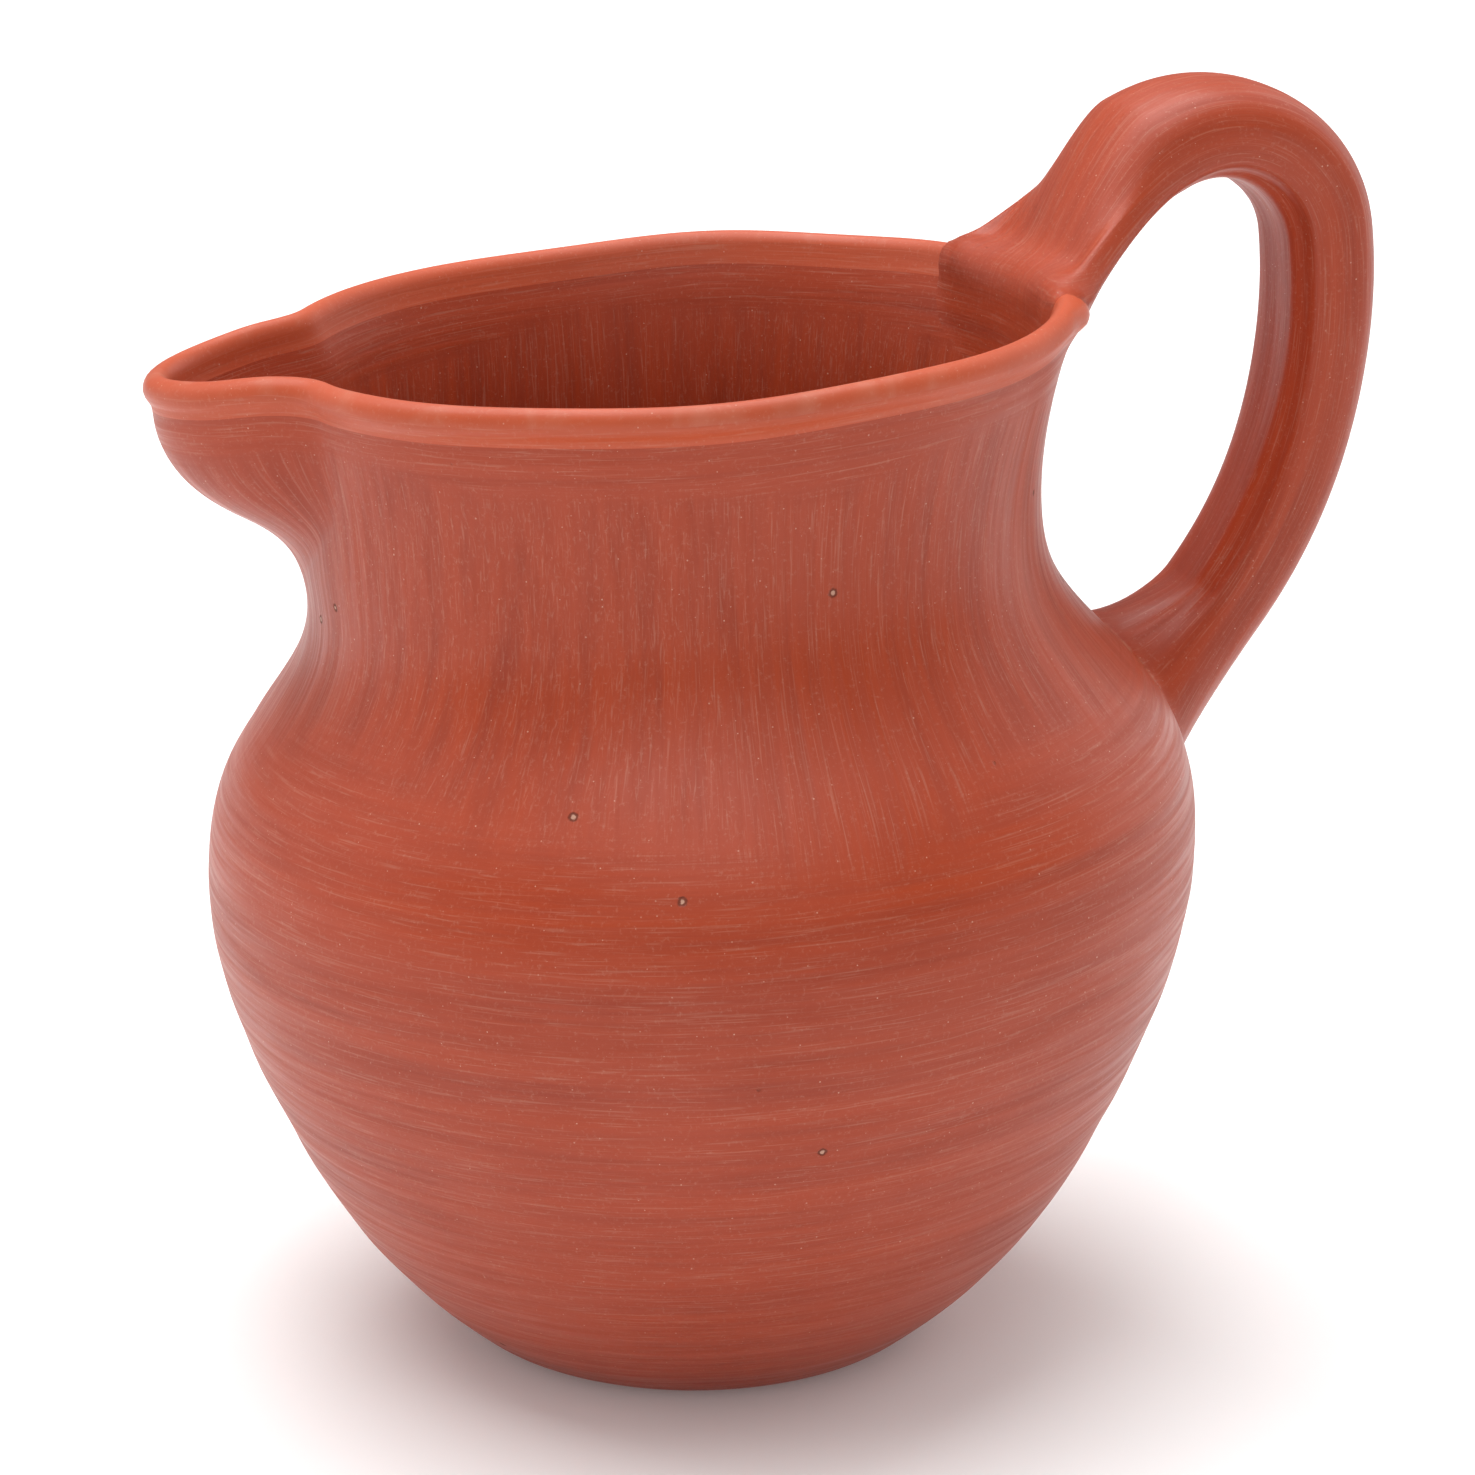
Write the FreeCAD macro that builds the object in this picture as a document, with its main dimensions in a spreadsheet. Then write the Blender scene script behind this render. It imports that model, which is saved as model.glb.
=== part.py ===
"""A coil-built, burnished clay pitcher: walls of stacked clay belts, a pinched spout and a strap handle.

Frame: the origin is the middle of the flat base, +Z is up, and the handle stands out along +X.
The pot leans as hand-built pots do: each horizontal section rises a little towards the handle.
"""
import FreeCAD, Part
import Sketcher
import math
import os

from FreeCAD import Vector

# Driving dimensions: millimetres, degrees where the name ends in deg, or plain ratios where it ends
# in share or slimness.
DIMENSIONS = [
    ("wall_thick", 4.8),
    ("floor_thick", 6),
    ("floor_radius", 43.5),
    ("bead_share", 0.5625),
    ("plug_share", 4),
    ("plug_margin_share", 0.125),
    ("side_share", 0.16),
    ("spout_bearing_deg", 166),
    ("spout_root", 52),
    ("spout_reach", 97.6),
    ("spout_slimness", 0.7),
    ("strap_width", 22),
    ("strap_thick", 18.4),
    ("strap_corner", 7),
    ("crown_x", 98.1),
    ("crown_rise", 7.5),
    ("crown_radius", 23),
    ("crown_start_deg", 113),
    ("rise_radius", 52),
    ("rise_start_deg", 128),
    ("side_radius", 91),
    ("side_start_deg", 8),
    ("side_end_deg", -38),
    ("upper_root_x", 61),
    ("upper_root_drop", 3),
    ("upper_root_lean_deg", 52),
    ("upper_root_width", 46),
    ("upper_root_thick", 22),
    ("lower_root_x", 76),
    ("lower_root_height", 106),
    ("lower_root_lean_deg", 42),
    ("lower_root_width", 38),
    ("lower_root_thick", 30),
    ("root_corner", 9),
    ("clear_reach", 200),
]

# The pot's outer form from below the foot to above the mouth: radius, stretch towards the spout, and
# rise towards the handle in degrees. Body levels and the mouth give their height on the axis first;
# levels of the neck give the share of the way up from the neck's root to the mouth.
BODY_LEVELS = [
    ("under", -4, 36.4, 0, 1.6),
    ("foot", 8, 50.9, 0, 1.65),
    ("heel", 22, 63.5, 0, 1.75),
    ("flank", 45, 76.5, 0, 2.0),
    ("low_belly", 70, 86.3, 0, 2.2),
    ("belly", 95, 89.3, 0, 2.4),
    ("high_belly", 115, 82.7, 0, 2.7),
    ("shoulder", 128, 71.2, 3, 2.95),
    ("neck_root", 138, 63.6, 7, 3.1),
]
NECK_LEVELS = [
    ("waist", 0.26, 60.3, 11, 3.25),
    ("neck", 0.59, 60.8, 12, 3.35),
]
MOUTH_LEVEL = ("mouth", 184, 65.3, 12, 3.35)
ABOVE_MOUTH = ("above", 1.22, 68.5, 12, 3.35)

# The spout's outer form: share of the way up from the neck's root to the mouth, and share of the way
# out from the spout's root to its full reach.
SPOUT_LEVELS = [
    ("chin", 0.05, 0.17),
    ("throat", 0.26, 0.36),
    ("lip_low", 0.39, 0.55),
    ("lip_mid", 0.52, 0.755),
    ("lip_high", 0.65, 0.88),
    ("lip_top", 0.83, 0.96),
    ("brim", 1, 1),
    ("over_brim", 1.13, 1.02),
]

POT_NAMES = [level[0] for level in BODY_LEVELS + NECK_LEVELS + [MOUTH_LEVEL, ABOVE_MOUTH]]
SPOUT_NAMES = [level[0] for level in SPOUT_LEVELS]
HEIGHT_LEVELS = [level[0] for level in BODY_LEVELS + [MOUTH_LEVEL]]
ROOT = "sizes.neck_root_height"
BEAD = "(sizes.bead_share * sizes.wall_thick)"
PLUG_MARGIN = "sizes.plug_margin_share * sizes.wall_thick"

doc = FreeCAD.newDocument("pitcher")
sizes = doc.addObject("Spreadsheet::Sheet", "sizes")


def fill_sheet():
    """Write every driving dimension as a plain number with its alias."""
    rows = list(DIMENSIONS)
    heights = [("height", level) for level in BODY_LEVELS + [MOUTH_LEVEL]]
    climbs = [("climb_share", level) for level in NECK_LEVELS + [ABOVE_MOUTH]]
    for kind, (name, height, radius, stretch, rise) in heights + climbs:
        rows.append((f"{name}_{kind}", height))
        rows.append((name + "_radius", radius))
        rows.append((name + "_stretch", stretch))
        rows.append((name + "_rise_deg", rise))
    for name, climb, reach in SPOUT_LEVELS:
        rows.append((name + "_climb_share", climb))
        rows.append((name + "_reach_share", reach))
    for row, (alias, value) in enumerate(rows, start=1):
        sizes.set(f"A{row}", alias)
        sizes.set(f"B{row}", str(value))
        sizes.setAlias(f"B{row}", alias)
    doc.recompute()


def value(alias):
    """The number in one cell of the sheet."""
    return float(getattr(sizes, alias))


def height_at(level):
    """Expression for a level's height: its own, or its share of the way up the neck."""
    if level in HEIGHT_LEVELS:
        return f"sizes.{level}_height"
    return f"({ROOT} + sizes.{level}_climb_share * (sizes.mouth_height - {ROOT}))"


def radius_at(level):
    """Expression for a level's radius."""
    return f"sizes.{level}_radius"


def reach_at(level):
    """Expression for how far the spout reaches at a level."""
    return f"(sizes.spout_root + sizes.{level}_reach_share * (sizes.spout_reach - sizes.spout_root))"


def leaning_plane(shift, height, rise):
    """Expression for a plane turned to the spout's bearing and rising towards the handle."""
    bearing = "sizes.spout_bearing_deg"
    place = (f"vector(cos({bearing}) * ({shift}); sin({bearing}) * ({shift}); "
             f"{height} + cos({bearing}) * ({shift}) * tan({rise}))")
    turn = f"rotation(vector(0; -1; 0); {rise}) * rotation(vector(0; 0; 1); {bearing})"
    return f"placement({place}; {turn})"


def oval(name, major, minor, plane):
    """One closed oval whose long axis points along the spout's bearing."""
    curve = doc.addObject("Part::Ellipse", name)
    curve.setExpression("MajorRadius", major)
    curve.setExpression("MinorRadius", minor)
    curve.setExpression("Placement", plane)
    return curve


def loft(name, sections):
    """A closed solid through the sections, in their order."""
    body = doc.addObject("Part::Loft", name)
    body.Sections = sections
    body.Solid = True
    return body


def cut(label, base, tool):
    """The base without the tool."""
    piece = doc.addObject("Part::Cut", label)
    piece.Base = base
    piece.Tool = tool
    piece.Refine = False
    return piece


def fuse(label, shapes):
    """All the shapes as one."""
    piece = doc.addObject("Part::MultiFuse", label)
    piece.Shapes = shapes
    piece.Refine = False
    return piece


def common(label, first, second):
    """What two shapes share."""
    piece = doc.addObject("Part::MultiCommon", label)
    piece.Shapes = [first, second]
    piece.Refine = False
    return piece


def pot_oval(name, level, radius, height):
    """One section of the pot, round or stretched towards the spout."""
    stretch = f"sizes.{level}_stretch"
    plane = leaning_plane(f"{stretch} / 2", height, f"sizes.{level}_rise_deg")
    return oval(name, f"{radius} + {stretch} / 2", f"{radius} + sizes.side_share * {stretch}", plane)


def inset(size_at, names, index):
    """Expressions for a level's size and height one wall thickness inside the outer form."""
    low = names[max(index - 1, 0)]
    high = names[min(index + 1, len(names) - 1)]
    widening = f"({size_at(high)} - {size_at(low)})"
    climb = f"({height_at(high)} - {height_at(low)})"
    slope = f"hypot({widening}; {climb})"
    inner_size = f"{size_at(names[index])} - sizes.wall_thick * {climb} / {slope}"
    inner_height = f"{height_at(names[index])} + sizes.wall_thick * {widening} / {slope}"
    return f"({inner_size})", f"({inner_height})"


def make_pot_form():
    """The outer form of the pot as one solid, still uncut at the foot and the mouth."""
    sections = [pot_oval("form_" + name, name, radius_at(name), height_at(name)) for name in POT_NAMES]
    return loft("pot_form", sections)


def make_pot_hollow():
    """The space inside the pot, from its flat floor to above the mouth."""
    turn = "rotation(vector(0; 0; 1); sizes.spout_bearing_deg)"
    floor_plane = f"placement(vector(0; 0; sizes.floor_thick); {turn})"
    sections = [oval("hollow_floor", "sizes.floor_radius", "sizes.floor_radius", floor_plane)]
    for index, name in enumerate(POT_NAMES[1:], start=1):
        radius, height = inset(radius_at, POT_NAMES, index)
        sections.append(pot_oval("hollow_" + name, name, radius, height))
    return loft("pot_hollow", sections)


def nose_oval(name, reach, height):
    """One section of the spout: an oval standing out from the spout's root."""
    length = f"({reach} - sizes.spout_root)"
    plane = leaning_plane("sizes.spout_root", height, "sizes.mouth_rise_deg")
    return oval(name, length, f"sizes.spout_slimness * {length}", plane)


def make_spout_form():
    """The outer form of the spout, which starts inside the neck."""
    sections = [nose_oval("form_" + name, reach_at(name), height_at(name)) for name in SPOUT_NAMES]
    return loft("spout_form", sections)


def make_spout_channel():
    """The pouring channel inside the spout."""
    sections = []
    for index, name in enumerate(SPOUT_NAMES[1:], start=1):
        reach, height = inset(reach_at, SPOUT_NAMES, index)
        sections.append(nose_oval("channel_" + name, reach, height))
    return loft("spout_channel", sections)


def space_above(name, height, rise):
    """A large block whose underside is the joint plane at this height."""
    block = doc.addObject("Part::Box", name)
    for side in ("Length", "Width", "Height"):
        block.setExpression(side, "2 * sizes.clear_reach")
    corner = (f"vector(-sizes.clear_reach * cos({rise}); -sizes.clear_reach; "
              f"{height} - sizes.clear_reach * sin({rise}))")
    block.setExpression("Placement", f"placement({corner}; rotation(vector(0; -1; 0); {rise}))")
    return block


def belt(label, wall, bottom, top):
    """The stretch of the wall between two joint planes, as one coil belt."""
    return cut(label, common(label + "_stock", wall, bottom), top)


def bead(name, major, minor, shift):
    """A round bead of clay running along one oval of the mouth's edge."""
    seat = f"sqrt({BEAD} * {BEAD} - sizes.wall_thick * sizes.wall_thick / 4)"
    plane = leaning_plane(shift, f"(sizes.mouth_height + {seat})", "sizes.mouth_rise_deg")
    path = oval(name + "_path", major, minor, plane)
    ring = doc.addObject("Part::Circle", name + "_ring")
    ring.setExpression("Radius", BEAD)
    ring.setExpression("Placement",
                       f"{plane} * placement(vector({major}; 0; 0); rotation(vector(1; 0; 0); 90))")
    sweep = doc.addObject("Part::Sweep", name)
    sweep.Sections = [ring]
    sweep.Spine = (path, ["Edge1"])
    sweep.Solid = True
    sweep.Frenet = True
    return sweep


def opening(name, major, minor, plane):
    """A straight plug through one oval of the mouth, well past both sides of the rim."""
    plug = doc.addObject("Part::Extrusion", name)
    plug.Base = oval(name + "_edge", major, minor, plane)
    plug.DirMode = "Normal"
    plug.Solid = True
    for length in ("LengthFwd", "LengthRev"):
        plug.setExpression(length, f"sizes.plug_share * {BEAD}")
    return plug


def make_rim_coil(above_mouth):
    """The last coil, rounded over the wall's top edge and out around the spout."""
    stretch = "sizes.mouth_stretch"
    edge = "sizes.mouth_radius - sizes.wall_thick / 2"
    length = "(sizes.spout_reach - sizes.spout_root)"
    rings = []
    for name, major, minor, shift in (
            ("mouth", f"({edge} + {stretch} / 2)",
             f"({edge} + sizes.side_share * {stretch})", f"{stretch} / 2"),
            ("spout", f"({length} - sizes.wall_thick / 2)",
             f"(sizes.spout_slimness * {length} - sizes.wall_thick / 2)", "sizes.spout_root")):
        plane = leaning_plane(shift, "sizes.mouth_height", "sizes.mouth_rise_deg")
        coil = bead(name + "_bead", major, minor, shift)
        # the plug is a little wider than the coil's middle line, so each coil ends inside the other
        plug = opening(name + "_plug", f"({major} + {PLUG_MARGIN})", f"({minor} + {PLUG_MARGIN})", plane)
        rings.append((coil, plug))
    (mouth_bead, mouth_plug), (spout_bead, spout_plug) = rings
    around_mouth = cut("bead_around_mouth", mouth_bead, spout_plug)
    around_spout = cut("bead_around_spout", spout_bead, mouth_plug)
    return common("rim_coil", fuse("whole_bead", [around_mouth, around_spout]), above_mouth)


def origin_plane(body, role):
    """One of the body's own origin planes."""
    return next(item for item in body.Origin.OriginFeatures if item.Role == role)


def bind(sketch, constraint, expression):
    """Add one constraint and bind its size to the sheet."""
    index = sketch.addConstraint(constraint)
    sketch.setExpression(f"Constraints[{index}]", expression)


def along_path(centre_x, centre_height, radius, angle):
    """Expressions for the point at an angle on one of the handle's arcs."""
    return f"{centre_x} + {radius} * cos({angle})", f"{centre_height} + {radius} * sin({angle})"


CROWN = ("sizes.crown_x", "(sizes.mouth_height + sizes.crown_rise)")
CROWN_START = along_path(*CROWN, "sizes.crown_radius", "sizes.crown_start_deg")
SIDE_START = along_path(*CROWN, "sizes.crown_radius", "sizes.side_start_deg")
RISE_CENTRE = along_path(*CROWN, "(sizes.crown_radius - sizes.rise_radius)", "sizes.crown_start_deg")
RISE_START = along_path(*RISE_CENTRE, "sizes.rise_radius", "sizes.rise_start_deg")
SIDE_CENTRE = along_path(*CROWN, "(sizes.crown_radius - sizes.side_radius)", "sizes.side_start_deg")
SIDE_END = along_path(*SIDE_CENTRE, "sizes.side_radius", "sizes.side_end_deg")


def strap_section(body, name, point, lean, width, thick, corner):
    """A rounded rectangle across the handle, in the plane that faces along the lean angle."""
    sketch = body.newObject("Sketcher::SketchObject", name)
    sketch.AttachmentSupport = [(origin_plane(body, "YZ_Plane"), "")]
    sketch.MapMode = "FlatFace"
    turn = f"rotation(vector(-1; 0; 0); {lean})"
    sketch.setExpression("AttachmentOffset", f"placement(vector(0; {point[1]}; {point[0]}); {turn})")
    half_width = value(width) / 2
    half_thick = value(thick) / 2
    radius = value(corner)
    corners = [(1, -1), (1, 1), (-1, 1), (-1, -1)]
    for index, (side, rise) in enumerate(corners):
        centre = Vector(side * (half_width - radius), rise * (half_thick - radius), 0)
        before = corners[index - 1]
        start_angle = (index - 1) * math.pi / 2
        entry = centre + Vector(math.cos(start_angle), math.sin(start_angle), 0) * radius
        previous = Vector(before[0] * (half_width - radius), before[1] * (half_thick - radius), 0)
        leave = previous + Vector(math.cos(start_angle), math.sin(start_angle), 0) * radius
        sketch.addGeometry(Part.LineSegment(leave, entry), False)
        circle = Part.Circle(centre, Vector(0, 0, 1), radius)
        sketch.addGeometry(Part.ArcOfCircle(circle, start_angle, start_angle + math.pi / 2), False)
    count = 2 * len(corners)
    for index in range(count):
        sketch.addConstraint(Sketcher.Constraint("Tangent", index, 2, (index + 1) % count, 1))
    for index in (0, 4):
        sketch.addConstraint(Sketcher.Constraint("Horizontal", index))
        sketch.addConstraint(Sketcher.Constraint("Vertical", index + 2))
    for index in (3, 5, 7):
        sketch.addConstraint(Sketcher.Constraint("Equal", 1, index))
    bind(sketch, Sketcher.Constraint("Radius", 1, radius), f"sizes.{corner}")
    bind(sketch, Sketcher.Constraint("DistanceX", 6, 1, 2, 1, 2 * half_width), f"sizes.{width}")
    bind(sketch, Sketcher.Constraint("DistanceX", -1, 1, 2, 1, half_width), f"sizes.{width} / 2")
    bind(sketch, Sketcher.Constraint("DistanceY", 0, 1, 4, 1, 2 * half_thick), f"sizes.{thick}")
    bind(sketch, Sketcher.Constraint("DistanceY", -1, 1, 4, 1, half_thick), f"sizes.{thick} / 2")
    return sketch


def arc_edge(centre, radius, start, end):
    """One arc of the handle's path in its own sketch plane."""
    circle = Part.Circle(centre, Vector(0, 0, 1), radius)
    return Part.ArcOfCircle(circle, math.radians(start), math.radians(end))


def point_at(centre, radius, angle):
    """The point at an angle in degrees on a circle about the centre."""
    return centre + Vector(math.cos(math.radians(angle)), math.sin(math.radians(angle)), 0) * radius


def strap_path(body):
    """The handle's middle line: a short rise, a round crown and a long side, each tangent to the next."""
    sketch = body.newObject("Sketcher::SketchObject", "strap_path")
    sketch.AttachmentSupport = [(origin_plane(body, "XZ_Plane"), "")]
    sketch.MapMode = "FlatFace"
    crown = Vector(value("crown_x"), value("mouth_height") + value("crown_rise"), 0)
    crown_start = value("crown_start_deg")
    side_start = value("side_start_deg")
    rise = point_at(crown, value("crown_radius") - value("rise_radius"), crown_start)
    side = point_at(crown, value("crown_radius") - value("side_radius"), side_start)
    sketch.addGeometry(arc_edge(rise, value("rise_radius"), crown_start, value("rise_start_deg")), False)
    sketch.addGeometry(arc_edge(crown, value("crown_radius"), side_start, crown_start), False)
    sketch.addGeometry(arc_edge(side, value("side_radius"), value("side_end_deg"), side_start), False)
    sketch.addConstraint(Sketcher.Constraint("Tangent", 0, 1, 1, 2))
    sketch.addConstraint(Sketcher.Constraint("Tangent", 1, 1, 2, 2))
    bind(sketch, Sketcher.Constraint("DistanceX", -1, 1, 1, 3, crown.x), CROWN[0])
    bind(sketch, Sketcher.Constraint("DistanceY", -1, 1, 1, 3, crown.y), CROWN[1])
    for index, name in enumerate(("rise_radius", "crown_radius", "side_radius")):
        bind(sketch, Sketcher.Constraint("Radius", index, value(name)), f"sizes.{name}")
    for index, end, expressions, start in (
            (0, 2, RISE_START, point_at(rise, value("rise_radius"), value("rise_start_deg"))),
            (1, 2, CROWN_START, point_at(crown, value("crown_radius"), crown_start)),
            (1, 1, SIDE_START, point_at(crown, value("crown_radius"), side_start)),
            (2, 1, SIDE_END, point_at(side, value("side_radius"), value("side_end_deg")))):
        bind(sketch, Sketcher.Constraint("DistanceY", -1, 1, index, end, start.y), expressions[1])
    return sketch


def make_strap():
    """The strap of the handle, swept along its middle line between the two joints."""
    body = doc.addObject("PartDesign::Body", "handle_strap")
    path = strap_path(body)
    section = strap_section(body, "strap_end", RISE_START, "sizes.rise_start_deg - 90",
                            "strap_width", "strap_thick", "strap_corner")
    pipe = body.newObject("PartDesign::AdditivePipe", "strap_sweep")
    pipe.Profile = section
    pipe.Spine = (path, ["Edge1", "Edge2", "Edge3"])
    body.Tip = pipe
    return body


def flared_joint(name, strap_point, strap_lean, root, root_height):
    """The clay worked out from the end of the strap to the broad root on the pot."""
    body = doc.addObject("PartDesign::Body", name + "_stock")
    strap_end = strap_section(body, name + "_strap_end", strap_point, strap_lean,
                              "strap_width", "strap_thick", "strap_corner")
    root_end = strap_section(body, name + "_root_end", (f"sizes.{root}_x", root_height),
                             f"sizes.{root}_lean_deg", f"{root}_width", f"{root}_thick", "root_corner")
    flare = body.newObject("PartDesign::AdditiveLoft", name + "_flare")
    flare.Profile = strap_end
    flare.Sections = [root_end]
    body.Tip = flare
    return body


def check_document():
    """Stop on any failed object or any empty or invalid shape."""
    for item in doc.Objects:
        if {"Invalid", "Error"} & set(item.State):
            raise RuntimeError(f"{item.Label} failed: {item.State}")


def write_parts(pieces):
    """Write each piece to its own file, named after it."""
    os.makedirs("parts", exist_ok=True)
    for piece in pieces:
        shape = piece.Shape
        if shape.isNull() or not shape.isValid() or not shape.Solids:
            raise RuntimeError(f"{piece.Label} has no valid solid")
        box = shape.BoundBox
        print(f"{piece.Label:22s} solids {len(shape.Solids)} volume {shape.Volume:9.0f}"
              f" x {box.XMin:7.1f} {box.XMax:7.1f} z {box.ZMin:6.1f} {box.ZMax:6.1f}")
        shape.exportStep(f"parts/{piece.Label}.step")


def build():
    """Make every piece of the pitcher and write it."""
    fill_sheet()
    pot_form = make_pot_form()
    pot_hollow = make_pot_hollow()
    spout_form = make_spout_form()
    spout_channel = make_spout_channel()
    above_ground = space_above("above_ground", "0", "0")
    above_floor = space_above("above_floor", "sizes.floor_thick", "0")
    joints = [space_above("above_" + level, height_at(level), f"sizes.{level}_rise_deg")
              for level in ("flank", "belly", "neck_root", "mouth")]
    above_flank, above_belly, above_neck_root, above_mouth = joints

    base_disc = cut("base_disc", common("foot_stock", pot_form, above_ground), above_floor)
    pot_wall = cut("pot_wall", pot_form, pot_hollow)
    lower_wall = belt("lower_wall", pot_wall, above_floor, above_flank)
    belly_wall = belt("belly_wall", pot_wall, above_flank, above_belly)
    shoulder_wall = belt("shoulder_wall", pot_wall, above_belly, above_neck_root)
    neck_ring = belt("neck_ring", pot_wall, above_neck_root, above_mouth)
    neck_collar = cut("neck_collar", neck_ring, spout_channel)
    spout_wall = cut("spout_wall", cut("spout_shell", spout_form, spout_channel), pot_form)
    spout = cut("spout", spout_wall, above_mouth)
    rim_coil = make_rim_coil(above_mouth)

    strap = make_strap()
    upper_stock = flared_joint("handle_upper_joint", RISE_START, "sizes.rise_start_deg - 90", "upper_root",
                               "sizes.mouth_height - sizes.upper_root_drop")
    upper_joint = cut("handle_upper_joint", cut("upper_joint_on_rim", upper_stock, neck_collar), rim_coil)
    lower_stock = flared_joint("handle_lower_joint", SIDE_END, "sizes.side_end_deg + 90", "lower_root",
                               "sizes.lower_root_height")
    lower_joint = cut("handle_lower_joint", lower_stock, pot_form)
    doc.recompute()
    check_document()
    write_parts([base_disc, lower_wall, belly_wall, shoulder_wall, neck_collar, spout, rim_coil,
                 strap, upper_joint, lower_joint])


build()
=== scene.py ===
"""A burnished red clay pitcher: coiled walls, a pinched spout and a strap handle, all in one finish.

Lengths inside the classes are millimetres of the drawn pot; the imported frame's belly gives the scale.
The origin is the middle of the base, +Z is up and the handle stands out along +X.
"""
from __future__ import annotations

import logging
import math
from dataclasses import dataclass, field
from enum import Enum

import bpy
import numpy as np
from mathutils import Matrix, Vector


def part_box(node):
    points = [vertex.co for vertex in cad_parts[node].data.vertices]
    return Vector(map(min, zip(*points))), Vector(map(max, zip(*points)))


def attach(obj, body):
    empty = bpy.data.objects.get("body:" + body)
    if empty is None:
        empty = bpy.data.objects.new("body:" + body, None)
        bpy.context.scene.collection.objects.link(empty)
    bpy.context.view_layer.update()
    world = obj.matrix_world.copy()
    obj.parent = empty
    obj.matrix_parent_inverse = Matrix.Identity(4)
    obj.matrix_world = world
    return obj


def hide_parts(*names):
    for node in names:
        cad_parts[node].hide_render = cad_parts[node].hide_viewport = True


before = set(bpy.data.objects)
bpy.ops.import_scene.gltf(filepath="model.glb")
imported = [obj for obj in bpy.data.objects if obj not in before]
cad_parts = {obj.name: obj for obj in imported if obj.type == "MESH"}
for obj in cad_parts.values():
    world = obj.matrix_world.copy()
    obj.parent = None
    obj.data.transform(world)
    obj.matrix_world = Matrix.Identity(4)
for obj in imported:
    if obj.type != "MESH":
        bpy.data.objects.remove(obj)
LOG = logging.getLogger("pitcher")
Socket = bpy.types.NodeSocket


class Layer(Enum):
    """What a mesh tells its finish at each point."""

    LEVEL = "level_strokes"
    UPRIGHT = "upright_strokes"
    SHARE = "share"
    SEAM = "seam"


# ---------------------------------------------------------------------------
# Curves and waves
# ---------------------------------------------------------------------------


@dataclass(frozen=True)
class SmoothCurve:
    """A natural cubic curve through a few points, level beyond its ends in slope."""

    stations: tuple[float, ...]
    values: tuple[float, ...]

    def bends(self) -> np.ndarray:
        """Solve for the second derivative at each point.

        Returns:
            One second derivative for each station, nought at both ends.
        """
        x = np.array(self.stations)
        y = np.array(self.values)
        count = len(x)
        step = np.diff(x)
        matrix = np.eye(count)
        right = np.zeros(count)
        for i in range(1, count - 1):
            matrix[i, i - 1] = step[i - 1]
            matrix[i, i] = 2.0 * (step[i - 1] + step[i])
            matrix[i, i + 1] = step[i]
            right[i] = 6.0 * ((y[i + 1] - y[i]) / step[i] - (y[i] - y[i - 1]) / step[i - 1])
        return np.linalg.solve(matrix, right)

    def at(self, station: np.ndarray) -> np.ndarray:
        """Read the curve.

        Args:
            station: Where to read it.

        Returns:
            The value at each station.
        """
        x = np.array(self.stations)
        y = np.array(self.values)
        bend = self.bends()
        place = np.clip(np.asarray(station, float), x[0], x[-1])
        i = np.clip(np.searchsorted(x, place) - 1, 0, len(x) - 2)
        step = x[i + 1] - x[i]
        right = (place - x[i]) / step
        left = 1.0 - right
        cubic = (left**3 - left) * bend[i] + (right**3 - right) * bend[i + 1]
        return left * y[i] + right * y[i + 1] + cubic * step**2 / 6.0


def smooth_step(low: float, high: float, value: np.ndarray) -> np.ndarray:
    """Rise smoothly from nought at low to one at high.

    Args:
        low: Where the rise starts.
        high: Where the rise ends.
        value: Where to read it.

    Returns:
        The share of the rise at each value.
    """
    share = np.clip((np.asarray(value, float) - low) / (high - low), 0.0, 1.0)
    return share * share * (3.0 - 2.0 * share)


def smooth_max(first: np.ndarray, second: np.ndarray, blend: np.ndarray | float) -> np.ndarray:
    """Take the larger of two values, rounding the corner where they cross.

    Args:
        first: One value.
        second: The other value.
        blend: How near the two must be before the corner rounds.

    Returns:
        The larger value, a little more near the crossing.
    """
    closeness = np.clip(blend - np.abs(first - second), 0.0, None)
    return np.maximum(first, second) + closeness**2 / (4.0 * blend)


def hump(value: np.ndarray, centre: float, width: float) -> np.ndarray:
    """A bell-shaped hump of height one.

    Args:
        value: Where to read it.
        centre: Its middle.
        width: Its half-width at about a third of its height.

    Returns:
        The hump's height at each value.
    """
    return np.exp(-(((value - centre) / width) ** 2))


def turn_from(angle: np.ndarray, centre: float) -> np.ndarray:
    """Measure the turn from a centre in degrees, between -180 and 180.

    Args:
        angle: Angles in degrees.
        centre: The angle to measure from.

    Returns:
        The signed turn for each angle.
    """
    return (np.asarray(angle, float) - centre + 180.0) % 360.0 - 180.0


@dataclass(frozen=True)
class HandWaves:
    """Slow seeded waves around and up a form, the unevenness that hands leave in clay."""

    seed: int
    rounds: tuple[int, int]
    lengths: tuple[float, float]
    depth: float
    count: int = 12

    def at(self, angle: np.ndarray, height: np.ndarray) -> np.ndarray:
        """Read the waves.

        Args:
            angle: Angle around the form in degrees.
            height: Distance along the form in millimetres.

        Returns:
            The unevenness in millimetres.
        """
        chance = np.random.default_rng(self.seed)
        total = np.zeros(np.broadcast(angle, height).shape)
        for _ in range(self.count):
            around = chance.integers(self.rounds[0], self.rounds[1] + 1)
            length = chance.uniform(*self.lengths)
            phase = chance.uniform(0.0, 2.0 * math.pi)
            sign = chance.choice((-1.0, 1.0))
            climb = sign * 2.0 * math.pi * height / length
            total = total + np.sin(around * np.radians(angle) + climb + phase)
        return total * self.depth / math.sqrt(self.count / 2.0)


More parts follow.
